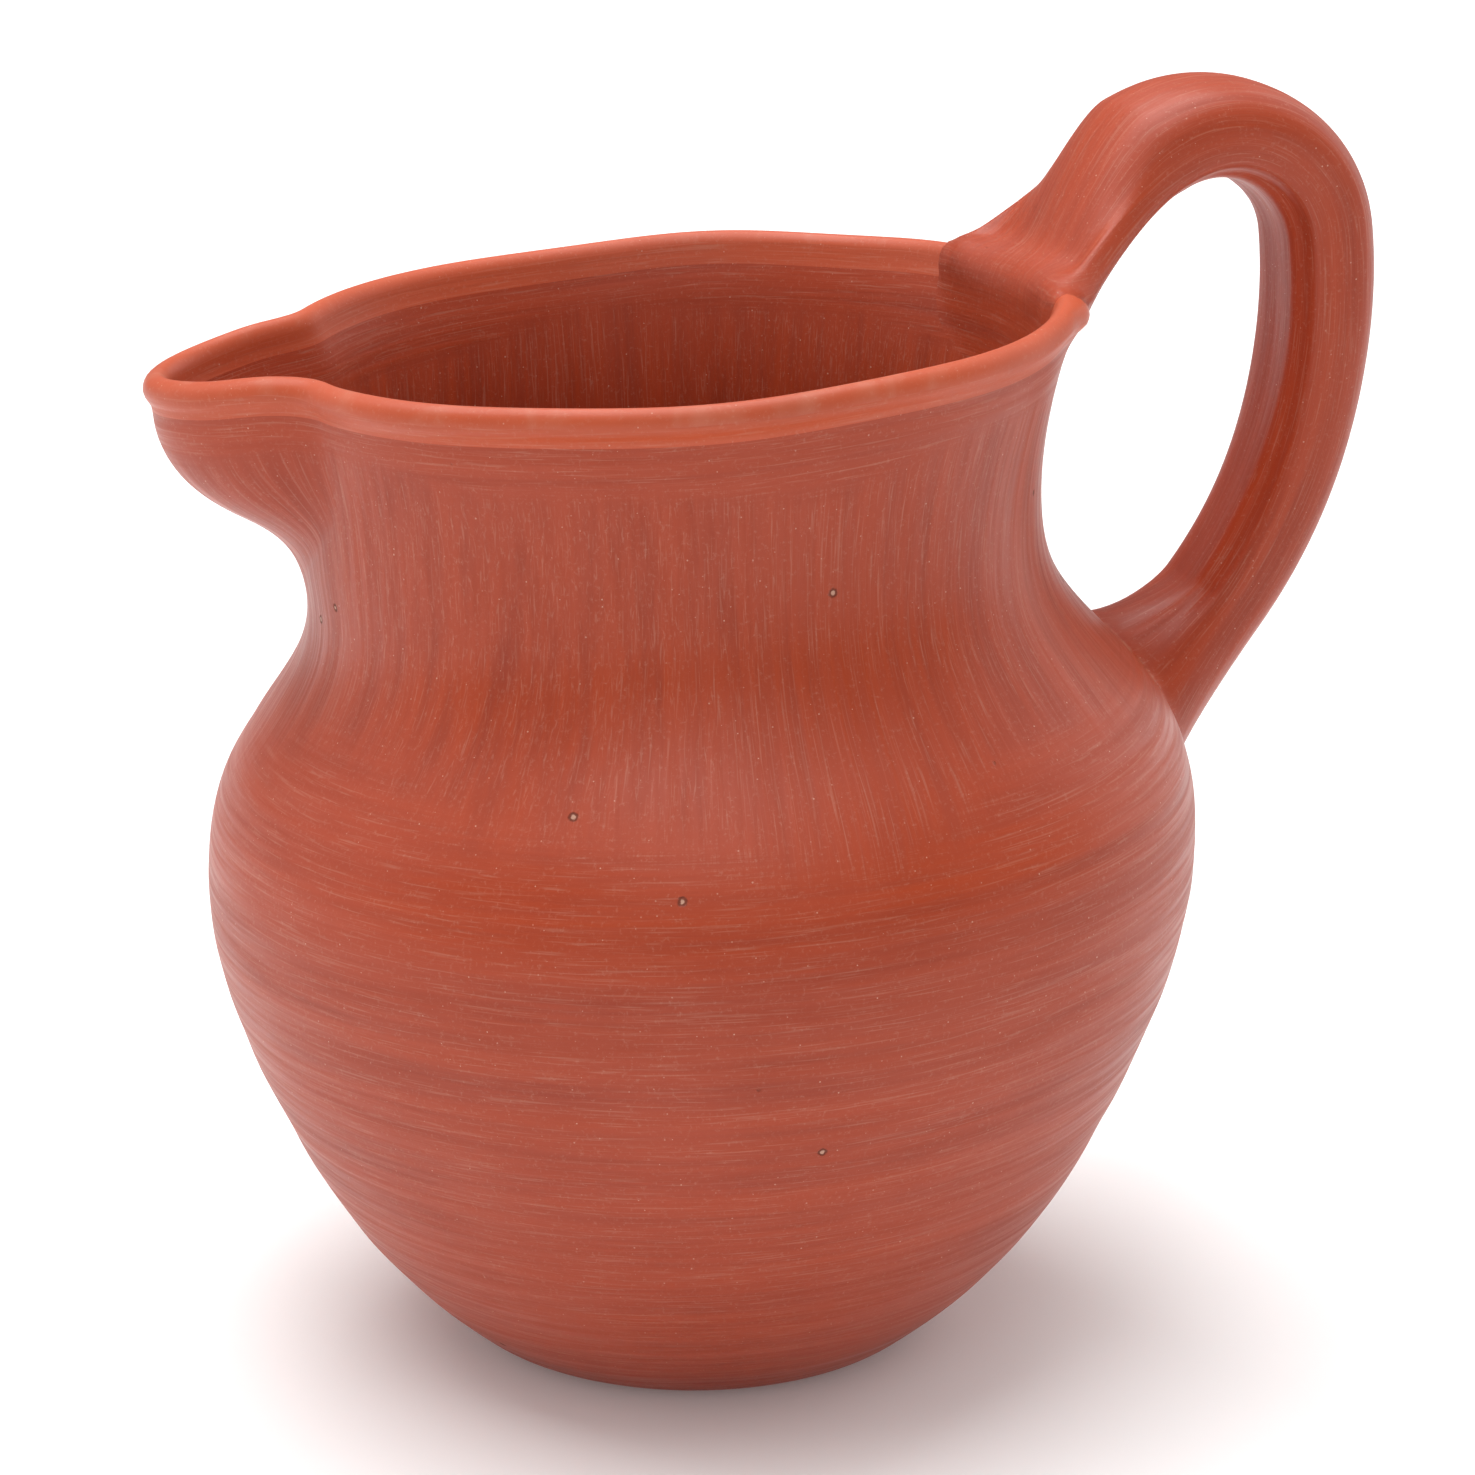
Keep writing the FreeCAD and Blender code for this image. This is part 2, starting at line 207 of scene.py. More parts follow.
# ---------------------------------------------------------------------------
# The pot's form
# ---------------------------------------------------------------------------


@dataclass(frozen=True)
class PotForm:
    """The outer form of the pot and everything that is measured from it, in drawn millimetres."""

    heights: tuple[float, ...] = (-4, 8, 22, 45, 70, 95, 115, 128, 138, 150, 165, 184, 194)
    radii: tuple[float, ...] = (36.4, 50.9, 63.5, 76.5, 86.3, 89.3, 82.7, 71.2, 63.6, 60.3, 60.8, 65.3, 68.5)
    stretches: tuple[float, ...] = (0, 0, 0, 0, 0, 0, 0, 3, 7, 11, 12, 12, 12)
    rises_deg: tuple[float, ...] = (1.6, 1.65, 1.75, 2.0, 2.2, 2.4, 2.7, 2.95, 3.1, 3.25, 3.35, 3.35, 3.35)
    side_share: float = 0.16
    spout_heights: tuple[float, ...] = (140, 150, 156, 162, 168, 176, 184, 194)
    spout_reaches: tuple[float, ...] = (59.5, 67.6, 76.2, 85.4, 91.4, 95.3, 97.0, 98)
    spout_bearing: float = 166.0
    spout_root: float = 52.0
    spout_slimness: float = 0.7
    notch_blend_low: float = 10.0
    notch_blend_high: float = 3.5
    foot_blend: float = 2.6
    wall: float = 4.8
    brim: float = 184.6
    bead: float = 2.85
    groove_depth: float = 0.45
    relief_room: float = 0.12
    knob_bearing: float = -24.0
    knob_out: float = 2.0
    slow_waves: HandWaves = HandWaves(seed=11, rounds=(2, 5), lengths=(90.0, 220.0), depth=0.10)
    stroke_waves: HandWaves = HandWaves(seed=23, rounds=(4, 11), lengths=(9.0, 22.0), depth=0.045, count=16)
    rim_waves: HandWaves = HandWaves(seed=31, rounds=(3, 9), lengths=(400.0, 900.0), depth=0.18)

    def neck_reach(self, turn: np.ndarray, height: np.ndarray) -> np.ndarray:
        """Read the oval of the pot without its spout.

        Args:
            turn: Angle from the spout's bearing, in radians.
            height: Height on the axis.

        Returns:
            The distance from the axis.
        """
        radius = SmoothCurve(self.heights, self.radii).at(height)
        stretch = np.clip(SmoothCurve(self.heights, self.stretches).at(height), 0.0, None)
        half = stretch / 2.0
        return self.oval_reach(turn, half, radius + half, radius + self.side_share * stretch)

    def oval_reach(
        self, turn: np.ndarray, shift: np.ndarray, long: np.ndarray, short: np.ndarray
    ) -> np.ndarray:
        """Read an oval that stands off the axis along the spout's bearing.

        Args:
            turn: Angle from the spout's bearing, in radians.
            shift: How far the oval's middle is from the axis.
            long: Half its length along the bearing.
            short: Half its width across the bearing.

        Returns:
            The far crossing from the axis, or nought where a ray misses the oval.
        """
        along = np.cos(turn) / long
        across = np.sin(turn) / short
        square = along**2 + across**2
        middle = along * shift / long
        inside = middle**2 - square * ((shift / long) ** 2 - 1.0)
        return np.where(inside > 0.0, (middle + np.sqrt(np.clip(inside, 0.0, None))) / square, 0.0)

    def reach(self, angle: np.ndarray, height: np.ndarray) -> np.ndarray:
        """Read the whole plan, neck and spout together.

        Args:
            angle: Angle around the pot in degrees.
            height: Height on the axis.

        Returns:
            The distance from the axis to the outer form.
        """
        turn = np.radians(turn_from(angle, self.spout_bearing))
        neck = self.neck_reach(turn, height)
        nose = SmoothCurve(self.spout_heights, self.spout_reaches).at(height)
        length = np.maximum(nose - self.spout_root, 1.0)
        spout = self.oval_reach(turn, self.spout_root, length, self.spout_slimness * length)
        spout = np.where((height > self.spout_heights[0]) & (np.cos(turn) > 0.0), spout, 0.0)
        share = smooth_step(self.waist, self.brim, height)
        blend = self.notch_blend_low + (self.notch_blend_high - self.notch_blend_low) * share
        return smooth_max(neck, spout, blend)

    @property
    def widest(self) -> float:
        """The width of the belly, in drawn millimetres."""
        return 2.0 * float(SmoothCurve(self.heights, self.radii).at(np.linspace(60.0, 120.0, 241)).max())

    @property
    def waist(self) -> float:
        """The height of the narrowest part of the neck."""
        return self.heights[9]

    def lift(self, angle: np.ndarray, height: np.ndarray) -> np.ndarray:
        """Read how far the rim wanders up and down.

        Args:
            angle: Angle around the pot in degrees.
            height: Height on the axis.

        Returns:
            The wander in millimetres, fading out down the neck.
        """
        spout = self.spout_bearing
        wander = self.rim_waves.at(angle, height)
        wander = wander + 1.1 * hump(turn_from(angle, spout + 19.0), 0.0, 5.0)
        wander = wander + 0.4 * hump(turn_from(angle, spout - 19.0), 0.0, 4.0)
        wander = wander - 2.6 * hump(turn_from(angle, spout - 4.0), 0.0, 17.0)
        return wander * smooth_step(self.waist, self.brim, height)

    def form_point(self, angle: np.ndarray, height: np.ndarray) -> np.ndarray:
        """Place points of the plain outer form.

        Args:
            angle: Angle around the pot in degrees.
            height: Height on the axis.

        Returns:
            Points, each section rising towards the handle and the foot pressed flat.
        """
        angle, height = np.broadcast_arrays(np.asarray(angle, float), np.asarray(height, float))
        radius = self.reach(angle, height)
        rise = np.tan(np.radians(SmoothCurve(self.heights, self.rises_deg).at(height)))
        x = radius * np.cos(np.radians(angle))
        y = radius * np.sin(np.radians(angle))
        z = height + x * rise + self.lift(angle, height)
        return np.stack([x, y, smooth_max(z, np.zeros_like(z), self.foot_blend)], axis=-1)

    def form_normal(self, angle: np.ndarray, height: np.ndarray) -> np.ndarray:
        """Find which way the plain outer form faces.

        Args:
            angle: Angle around the pot in degrees.
            height: Height on the axis.

        Returns:
            Unit normals that point out of the clay.
        """
        small_turn = 0.25
        small_step = 0.2
        around = self.form_point(angle + small_turn, height) - self.form_point(angle - small_turn, height)
        upward = self.form_point(angle, height + small_step) - self.form_point(angle, height - small_step)
        normal = np.cross(around, upward)
        return normal / np.maximum(np.linalg.norm(normal, axis=-1, keepdims=True), 1e-9)

    def unevenness(self, angle: np.ndarray, height: np.ndarray) -> np.ndarray:
        """Read how far the burnished skin wanders from the plain form.

        Args:
            angle: Angle around the pot in degrees.
            height: Height on the axis.

        Returns:
            Millimetres out of the clay, nothing at the foot.
        """
        foot = smooth_step(2.0, 16.0, height)
        neck = smooth_step(118.0, 140.0, height)
        level = self.stroke_waves.at(angle, height + 3.0 * np.sin(np.radians(2.0 * angle)))
        return foot * (self.slow_waves.at(angle, height) + (1.0 - neck) * level - 0.2)

    def bead_relief(self, below: np.ndarray) -> np.ndarray:
        """Read the bulge of the rim's bead and the soft groove beneath it.

        Args:
            below: Distance below the bead's middle.

        Returns:
            Millimetres out of the wall.
        """
        inside = np.clip(self.bead**2 - below**2, 0.0, None)
        bulge = np.where(below < self.bead, np.sqrt(inside) - self.wall / 2.0, -self.wall)
        groove = -self.groove_depth * hump(below, self.bead, 3.6)
        return smooth_max(bulge, groove, 0.5)

    def knob(self, angle: np.ndarray, below: np.ndarray) -> np.ndarray:
        """Read the small knob where the rim's bead ends beside the handle.

        Args:
            angle: Angle around the pot in degrees.
            below: Distance below the bead's middle.

        Returns:
            Millimetres out of the wall.
        """
        return self.knob_out * hump(turn_from(angle, self.knob_bearing), 0.0, 6.0) * hump(below, 1.0, 4.2)

    def outside(self, angle: np.ndarray, height: np.ndarray) -> np.ndarray:
        """Place points of the outer skin, with all its relief.

        Args:
            angle: Angle around the pot in degrees.
            height: Height on the axis.

        Returns:
            Points of the outer skin.
        """
        relief = self.unevenness(angle, height) + self.bead_relief(self.brim - height)
        relief = relief + self.knob(angle, self.brim - height)
        return self.form_point(angle, height) + self.form_normal(angle, height) * relief[..., None]

    def inside(self, angle: np.ndarray, height: np.ndarray) -> np.ndarray:
        """Place points of the inner skin.

        Args:
            angle: Angle around the pot in degrees.
            height: Height on the axis.

        Returns:
            Points one wall thickness inside the outer form.
        """
        below = self.brim - height
        swell = (self.bead - self.wall / 2.0) * smooth_step(9.0, 0.0, below)
        scraped = 0.35 * self.slow_waves.at(angle + 40.0, height * 2.2)
        inset = self.wall - swell + scraped * smooth_step(0.0, 12.0, below)
        return self.form_point(angle, height) - self.form_normal(angle, height) * inset[..., None]

    def lip(self, angle: np.ndarray, roll: np.ndarray) -> np.ndarray:
        """Place points over the rounded top of the rim.

        Args:
            angle: Angle around the pot in degrees.
            roll: Turn over the bead in radians, nought outside and half a turn inside.

        Returns:
            Points of the bead.
        """
        angle, roll = np.broadcast_arrays(np.asarray(angle, float), np.asarray(roll, float))
        brim = np.full(angle.shape, self.brim)
        outward = self.form_normal(angle, brim)
        along = self.form_point(angle + 0.25, brim) - self.form_point(angle - 0.25, brim)
        along = along / np.linalg.norm(along, axis=-1, keepdims=True)
        upward = np.cross(outward, along)
        middle = self.form_point(angle, brim) - outward * (self.wall / 2.0)
        out = self.outside(angle, brim) - middle
        back = self.inside(angle, brim) - middle
        side = np.where(np.cos(roll)[..., None] > 0.0, out, -back)
        return middle + side * np.cos(roll)[..., None] + upward * (self.bead * np.sin(roll))[..., None]

    def over_rim(self, angle: np.ndarray, distance: np.ndarray) -> np.ndarray:
        """Place points by their distance over the rim.

        Args:
            angle: Angle around the pot in degrees.
            distance: Distance from the rim's crest, down the inside where it is above nought.

        Returns:
            Points of the skin.
        """
        quarter = self.bead * math.pi / 2.0
        beyond = np.clip(np.abs(distance) - quarter, 0.0, None)
        roll = math.pi / 2.0 + np.clip(distance, -quarter, quarter) / self.bead
        on_lip = self.lip(angle, roll)
        off_lip = np.where(
            (distance > 0.0)[..., None],
            self.inside(angle, self.brim - beyond),
            self.outside(angle, self.brim - beyond),
        )
        return np.where((beyond > 0.0)[..., None], off_lip, on_lip)

    def wall_middle(self, angle: np.ndarray, height: np.ndarray) -> np.ndarray:
        """Place points half-way through the wall.

        Args:
            angle: Angle around the pot in degrees.
            height: Height on the axis.

        Returns:
            Points in the middle of the clay.
        """
        return self.form_point(angle, height) - self.form_normal(angle, height) * (self.wall / 2.0)

    def above_wall(self, points: np.ndarray) -> np.ndarray:
        """Measure how far points near the rim are from the wall's skin.

        Args:
            points: Points near the rim.

        Returns:
            The distance of each, below nought inside the clay.
        """
        angle = np.degrees(np.arctan2(points[..., 1], points[..., 0]))
        heights = np.linspace(self.waist, self.brim, 24)
        middles = self.wall_middle(angle[..., None], np.broadcast_to(heights, angle.shape + heights.shape))
        start = middles[..., :-1, :]
        step = middles[..., 1:, :] - start
        share = ((points[..., None, :] - start) * step).sum(axis=-1) / (step * step).sum(axis=-1)
        share = np.clip(share, 0.0, 1.0)
        length = np.linalg.norm(points[..., None, :] - (start + step * share[..., None]), axis=-1)
        nearest = length.argmin(axis=-1)[..., None]
        distance = np.take_along_axis(length, nearest, axis=-1)[..., 0]
        at = np.take_along_axis(share, nearest, axis=-1)[..., 0] + nearest[..., 0]
        last = len(heights) - 1.0
        return distance - self.wall / 2.0 - (self.bead - self.wall / 2.0) * smooth_step(last - 4.0, last, at)


# ---------------------------------------------------------------------------
# Meshes
# ---------------------------------------------------------------------------


@dataclass
class Skin:
    """A grid of points with what the finish needs to know at each of them."""

    points: np.ndarray
    normals: np.ndarray
    level: np.ndarray
    upright: np.ndarray
    share: np.ndarray
    seam: np.ndarray

    def part(self, rows: slice) -> "Skin":
        """Return the same skin over some of its rows."""
        return Skin(*(layer[rows] for layer in vars(self).values()))


@dataclass
class Solid:
    """A closed mesh being put together from skins and caps."""

    scale: float
    points: list[np.ndarray] = field(default_factory=list)
    normals: list[np.ndarray] = field(default_factory=list)
    layers: dict[Layer, list[np.ndarray]] = field(default_factory=dict)
    faces: list[np.ndarray] = field(default_factory=list)
    flat: list[np.ndarray] = field(default_factory=list)
    count: int = 0

    def add_skin(self, skin: Skin) -> int:
        """Add a skin's points.

        Args:
            skin: The grid to add.

        Returns:
            The index of its first point.
        """
        start = self.count
        total = skin.share.size
        self.points.append(skin.points.reshape(-1, 3))
        self.normals.append(skin.normals.reshape(-1, 3))
        values = (skin.level, skin.upright, skin.share, skin.seam)
        for layer, grid in zip(Layer, values):
            self.layers.setdefault(layer, []).append(grid.reshape(total, -1))
        self.count += total
        return start

    def add_faces(self, corners: np.ndarray, flat: bool = False) -> None:
        """Add faces by their corner indices.

        Args:
            corners: One row of corner indices for each face.
            flat: Whether each face keeps its own hard edges.
        """
        if len(corners):
            self.faces.append(np.asarray(corners, np.int64))
            self.flat.append(np.full(len(corners), flat))

    def build(self, name: str) -> bpy.types.Object:
        """Make the Blender mesh.

        Args:
            name: The piece's name.

        Returns:
            The new object, linked to the scene.
        """
        points = np.concatenate(self.points)
        normals = np.concatenate(self.normals)
        sizes = np.concatenate([np.full(len(block), block.shape[1]) for block in self.faces])
        corners = np.concatenate([block.ravel() for block in self.faces])
        used, corners = np.unique(corners, return_inverse=True)
        points = points[used]
        normals = normals[used]
        starts = np.concatenate([[0], np.cumsum(sizes)[:-1]])
        mesh = bpy.data.meshes.new(name)
        mesh.vertices.add(len(points))
        mesh.vertices.foreach_set("co", (points * self.scale).astype(np.float32).ravel())
        mesh.loops.add(len(corners))
        mesh.loops.foreach_set("vertex_index", corners.astype(np.int32))
        mesh.polygons.add(len(sizes))
        mesh.polygons.foreach_set("loop_start", starts.astype(np.int32))
        mesh.update(calc_edges=True)
        for layer, blocks in self.layers.items():
            values = np.concatenate(blocks)[used].astype(np.float32)
            kind, part = ("FLOAT_VECTOR", "vector") if values.shape[1] == 3 else ("FLOAT", "value")
            mesh.attributes.new(layer.value, kind, "POINT")
            mesh.attributes[layer.value].data.foreach_set(part, values.ravel())
        face_normals = np.zeros(len(sizes) * 3, np.float32)
        mesh.polygons.foreach_get("normal", face_normals)
        per_corner = np.repeat(face_normals.reshape(-1, 3), sizes, axis=0)
        smooth = np.repeat(~np.concatenate(self.flat), sizes)
        per_corner[smooth] = normals[corners[smooth]]
        mesh.polygons.foreach_set("use_smooth", np.ones(len(sizes), bool))
        mesh.normals_split_custom_set(per_corner)
        mesh.validate(clean_customdata=False)
        piece = bpy.data.objects.new(name, mesh)
        bpy.context.scene.collection.objects.link(piece)
        return piece


def grid_normals(points: np.ndarray) -> np.ndarray:
    """Find the normals of a grid whose columns run around it.

    Args:
        points: Rows by columns of points.

    Returns:
        Unit normals, on the outer side where rows run up the outside.
    """
    around = np.roll(points, -1, axis=1) - np.roll(points, 1, axis=1)
    onward = np.gradient(points, axis=0)
    normal = np.cross(around, onward)
    return normal / np.maximum(np.linalg.norm(normal, axis=-1, keepdims=True), 1e-9)


def softened(values: np.ndarray, times: int) -> np.ndarray:
    """Spread the values of a grid over their neighbours.

    Args:
        values: Rows by columns, whose columns run around.
        times: How often each value is shared with its neighbours.

    Returns:
        The values, nothing past the first and last rows.
    """
    for _ in range(times):
        values = (np.roll(values, 1, axis=1) + values * 2.0 + np.roll(values, -1, axis=1)) / 4.0
        padded = np.pad(values, ((1, 1), (0, 0)))
        values = (padded[:-2] + padded[1:-1] * 2.0 + padded[2:]) / 4.0
    return values


# ---------------------------------------------------------------------------
# The pot and its pieces
# ---------------------------------------------------------------------------


class Pot:
    """The pot's two skins on one grid, and the pieces cut from it."""

    belts: tuple[float, ...] = (6.0, 45.0, 95.0, 138.0)
    rim_depth: float = 3.4
    spout_half_turn: float = 22.0
    floor_top: float = 6.0
    floor_blend: float = 6.0
    squeeze: float = 0.03
    stroke_spread: float = 62.0

    def __init__(self, form: PotForm, scale: float, columns: int = 600, row_step: float = 0.85) -> None:
        """Measure both skins.

        Args:
            form: The pot's form.
            scale: Metres in the frame for a drawn millimetre.
            columns: How many columns go around.
            row_step: The height of a row.
        """
        self.form = form
        self.scale = scale
        self.angles = np.arange(columns) * 360.0 / columns
        self.base_rings = np.array([0.0, 0.25, 0.5, 0.75, 0.9])
        low = form.heights[0]
        rows = int(round((form.brim - low) / row_step))
        self.heights = np.linspace(low, form.brim, rows + 1)
        self.rolls = np.linspace(0.0, math.pi / 2.0, 9)[1:]
        under = np.full(len(self.base_rings), low - 1.0)
        over = np.full(len(self.rolls), form.brim + 1.0)
        self.row_heights = np.concatenate([under, self.heights, over])
        self.outer, self.inner = self.skins()

    def skins(self) -> tuple[Skin, Skin]:
        """Make the outer and the inner skin, row for row.

        Returns:
            The outer skin and the inner skin.
        """
        form = self.form
        angle, height = np.meshgrid(self.angles, self.heights)
        turn, roll = np.meshgrid(self.angles, self.rolls)
        outer = np.concatenate([form.outside(angle, height), form.lip(turn, roll)])
        inner = np.concatenate([form.inside(angle, height), form.lip(turn, math.pi - roll)])
        floor = np.full(inner.shape[:2], self.floor_top)
        inner[..., 2] = smooth_max(inner[..., 2], floor, self.floor_blend)
        outer = np.concatenate([self.rings(outer[0]), outer])
        inner = np.concatenate([self.rings(inner[0]), inner])
        whole = np.concatenate([outer, inner[-2::-1]])
        normals = grid_normals(whole)
        normals[0] = (0.0, 0.0, -1.0)
        normals[-1] = (0.0, 0.0, 1.0)
        count = len(outer)
        skins = []
        for points, facing in ((outer, normals[:count]), (inner, normals[count - 1 :][::-1])):
            skins.append(self.dressed(points, facing))
        return skins[0], skins[1]

    def rings(self, edge: np.ndarray) -> np.ndarray:
        """Fill the floor inside an edge with rings.

        Args:
            edge: The outermost ring.

        Returns:
            Rings from the middle outwards, without the edge.
        """
        middle = edge.mean(axis=0)
        return middle + (edge - middle) * self.base_rings[:, None, None]

    def dressed(self, points: np.ndarray, normals: np.ndarray) -> Skin:
        """Add what the finish needs to a grid of points.

        Args:
            points: The grid.
            normals: Its normals.

        Returns:
            The skin.
        """
        shape = points.shape[:2]
        angle = np.broadcast_to(np.radians(self.angles), shape)
        height = np.broadcast_to(self.row_heights[:, None], shape)
        squeeze = self.squeeze
        level = np.stack([points[..., 0] * squeeze, points[..., 1] * squeeze, height], axis=-1)
        lean = 0.10 * np.sin(2.0 * angle) * (height - self.form.waist)
        wide = self.stroke_spread
        upright = np.stack(
            [wide * np.cos(angle) + lean, wide * np.sin(angle) + lean, points[..., 2] * squeeze], axis=-1
        )
        wander = 5.0 * np.sin(3.0 * angle + 0.6) + 3.0 * np.sin(7.0 * angle)
        share = smooth_step(112.0, 126.0, height + wander)
        share = share * (1.0 - smooth_step(170.0, 176.0, height + 0.4 * wander))
        return Skin(points, normals, level, upright, share, np.zeros(shape))

    def cells(self, low: float, high: float, sector: tuple[float, float] | None = None) -> np.ndarray:
        """Mark the grid's cells between two heights.

        Args:
            low: The lowest height.
            high: The highest height.
            sector: The bearing and half-width of a sector to keep, or None for all around.

        Returns:
            True for each cell kept.
        """
        middle = (self.row_heights[1:] + self.row_heights[:-1]) / 2.0
        rows = (middle >= low) & (middle < high)
        columns = np.ones(len(self.angles), bool)
        if sector is not None:
            half = 180.0 / len(self.angles)
            columns = np.abs(turn_from(self.angles + half, sector[0])) < sector[1]
        return rows[:, None] & columns[None, :]

    def piece(self, name: str, keep: np.ndarray) -> bpy.types.Object:
        """Build one closed piece from some of the grid's cells.

        Args:
            name: The piece's name.
            keep: True for each cell the piece takes.

        Returns:
            The new object.
        """
        solid = Solid(self.scale)
        starts = (solid.add_skin(self.outer), solid.add_skin(self.inner))
        columns = len(self.angles)
        row, column = np.nonzero(keep)
        after = (column + 1) % columns
        for start, turned in zip(starts, (False, True)):
            first = np.where(row == 0, start, start + row * columns + column)
            second = np.where(row == 0, start, start + row * columns + after)
            third = start + (row + 1) * columns + after
            fourth = start + (row + 1) * columns + column
            middle = row == 0
            fan = np.stack([first, third, fourth], axis=1)[middle]
            quads = np.stack([first, second, third, fourth], axis=1)[~middle]
            solid.add_faces(fan[:, ::-1] if turned else fan)
            solid.add_faces(quads[:, ::-1] if turned else quads)
        self.cap_edges(solid, starts, keep)
        return solid.build(name)

    def cap_edges(self, solid: Solid, starts: tuple[int, int], keep: np.ndarray) -> None:
        """Close a piece between its two skins wherever its cells end.

        Args:
            solid: The piece.
            starts: The first point of each skin.
            keep: True for each cell the piece takes.
        """
        columns = len(self.angles)
        padded = np.zeros((keep.shape[0] + 2, columns), bool)
        padded[1:-1] = keep
        below = keep & ~padded[:-2]
        above = keep & ~padded[2:]
        above[-1] = False
        below[0] = False
        left = keep & ~np.roll(keep, 1, axis=1)
        right = keep & ~np.roll(keep, -1, axis=1)
        for edge, ends in (
            (below, ((0, 1), (0, 0))),
            (above, ((1, 0), (1, 1))),
            (left, ((0, 0), (1, 0))),
            (right, ((1, 1), (0, 1))),
        ):
            row, column = np.nonzero(edge)
            path = [(row + up) * columns + (column + over) % columns for up, over in ends]
            faces = [starts[0] + path[0], starts[0] + path[1], starts[1] + path[1], starts[1] + path[0]]
            solid.add_faces(np.stack(faces, axis=1), flat=True)


# ---------------------------------------------------------------------------
# The handle and its roots
# ---------------------------------------------------------------------------


@dataclass(frozen=True)
class StrapForm:
    """The handle's strap: three arcs in one plane and the strap's section."""

    crown_radius: float = 23.0
    rise_radius: float = 52.0
    side_radius: float = 91.0
    crown_from: float = 8.0
    crown_to: float = 113.0
    rise_to: float = 116.0
    side_to: float = -38.0
    width: float = 22.0
    thick: float = 18.4
    squareness: float = 2.5
    inner_squareness: float = 3.4
    root_widening: float = 0.42
    root_shift: float = 3.6
    flare_reach: tuple[float, float] = (40.0, -8.0)
    crease_bearing: float = -137.0
    crease_width: float = 10.0
    hollow_width: float = 28.0
    hollow_depth: float = 0.6
    relief_room: float = 0.22
    reach: float = 129.1
    top: float = 223.0

    @property
    def crown(self) -> np.ndarray:
        """The middle of the crown's arc, set so that the strap reaches as far and as high as it should."""
        half = self.thick / 2.0
        beside = (self.side_radius - self.crown_radius) * math.cos(math.radians(self.crown_from))
        side = self.side_radius + half - beside
        return np.array([self.reach - side, self.top - self.crown_radius - half])

    def spine(self, step: float = 0.9) -> tuple[np.ndarray, np.ndarray]:
        """Walk the strap's middle line from the rim to the belly.

        Args:
            step: The distance between stations.

        Returns:
            Points in the handle's plane, and the outward direction at each.
        """
        points = []
        facing = []
        crown = self.crown
        for arc_radius, start, end, meets in (
            (self.rise_radius, self.rise_to, self.crown_to, self.crown_to),
            (self.crown_radius, self.crown_to, self.crown_from, self.crown_to),
            (self.side_radius, self.crown_from, self.side_to, self.crown_from),
        ):
            meet = np.radians(meets)
            middle = crown + (self.crown_radius - arc_radius) * np.array([np.cos(meet), np.sin(meet)])
            count = int(math.ceil(math.radians(start - end) * arc_radius / step))
            angle = np.radians(np.linspace(start, end, count + 1)[:-1])
            outward = np.stack([np.cos(angle), np.sin(angle)], axis=-1)
            points.append(middle + arc_radius * outward)
            facing.append(outward)
        return np.concatenate(points), np.concatenate(facing)


@dataclass(frozen=True)
class RimRoot:
    """Where the handle's upper end is pressed over the rim."""

    turn_deg: float = 23.5
    turn_middle: float = -1.0
    down_inside: float = 21.0
    down_outside: float = 12.0
    pull_from_strap: float = 26.0
    pull_on_pot: float = 15.0
    pull_far: float = -0.5
    pull_inside: float = 30.0
    cover: float = 1.8
    passes: int = 7
    hub_height: float = 178.0
    hub_depth: float = 2.4
    squareness: float = 2.8

    def footprint(self, form: PotForm, round_: np.ndarray, grow: float) -> np.ndarray:
        """Place the root's outline on the pot.

        Args:
            form: The pot's form.
            round_: Angle around the outline in radians, nought on the strap's outer face.
            grow: How many times its size the outline is drawn.

        Returns:
            Points on the pot's skin.
        """
        turn, distance = self.outline(round_, grow)
        return form.over_rim(turn, distance)

    def outline(self, round_: np.ndarray, grow: float) -> tuple[np.ndarray, np.ndarray]:
        """Draw the root's outline as a turn around the pot and a distance over the rim.

        Args:
            round_: Angle around the outline in radians, nought on the strap's outer face.
            grow: How many times its size the outline is drawn.

        Returns:
            The turn in degrees and the distance in millimetres.
        """
        middle = (self.down_inside - self.down_outside) / 2.0
        half = (self.down_inside + self.down_outside) / 2.0
        power = self.squareness
        size = grow * (np.abs(np.cos(round_)) ** power + np.abs(np.sin(round_)) ** power) ** (-1.0 / power)
        turn = self.turn_middle + self.turn_deg * np.sin(round_) * size
        return turn, middle + half * np.cos(round_) * size

    def pull(self, round_: np.ndarray) -> np.ndarray:
        """Read how strongly each line is drawn along the pot, most where it goes over the rim."""
        inside = self.pull_inside * smooth_step(-0.2, 0.7, np.cos(round_))
        return self.pull_on_pot * (1.0 + self.pull_far * np.sin(round_)) + inside

    def clay_middle(self, form: PotForm, round_: np.ndarray) -> np.ndarray:
        """Place the outline in the middle of the wall."""
        turn, distance = self.outline(round_, 1.0)
        beyond = np.clip(np.abs(distance) - form.bead * math.pi / 2.0, 0.0, None)
        return form.wall_middle(turn, form.brim - beyond)

    def settle(self, form: PotForm, loft: np.ndarray, share: np.ndarray) -> np.ndarray:
        """Swell the loft until it covers the rim that it passes over.

        Args:
            form: The pot's form.
            loft: Rings from the strap to the pot.
            share: How far along the loft each ring is.

        Returns:
            The swollen rings.
        """
        wanted = self.cover * smooth_step(1.0, 0.72, share[..., 0])
        for _ in range(self.passes):
            short = np.clip(wanted - form.above_wall(loft), 0.0, None)
            swell = softened(short, 4) * smooth_step(1.0, 0.9, share[..., 0])
            loft = loft + grid_normals(loft) * swell[..., None]
        return loft


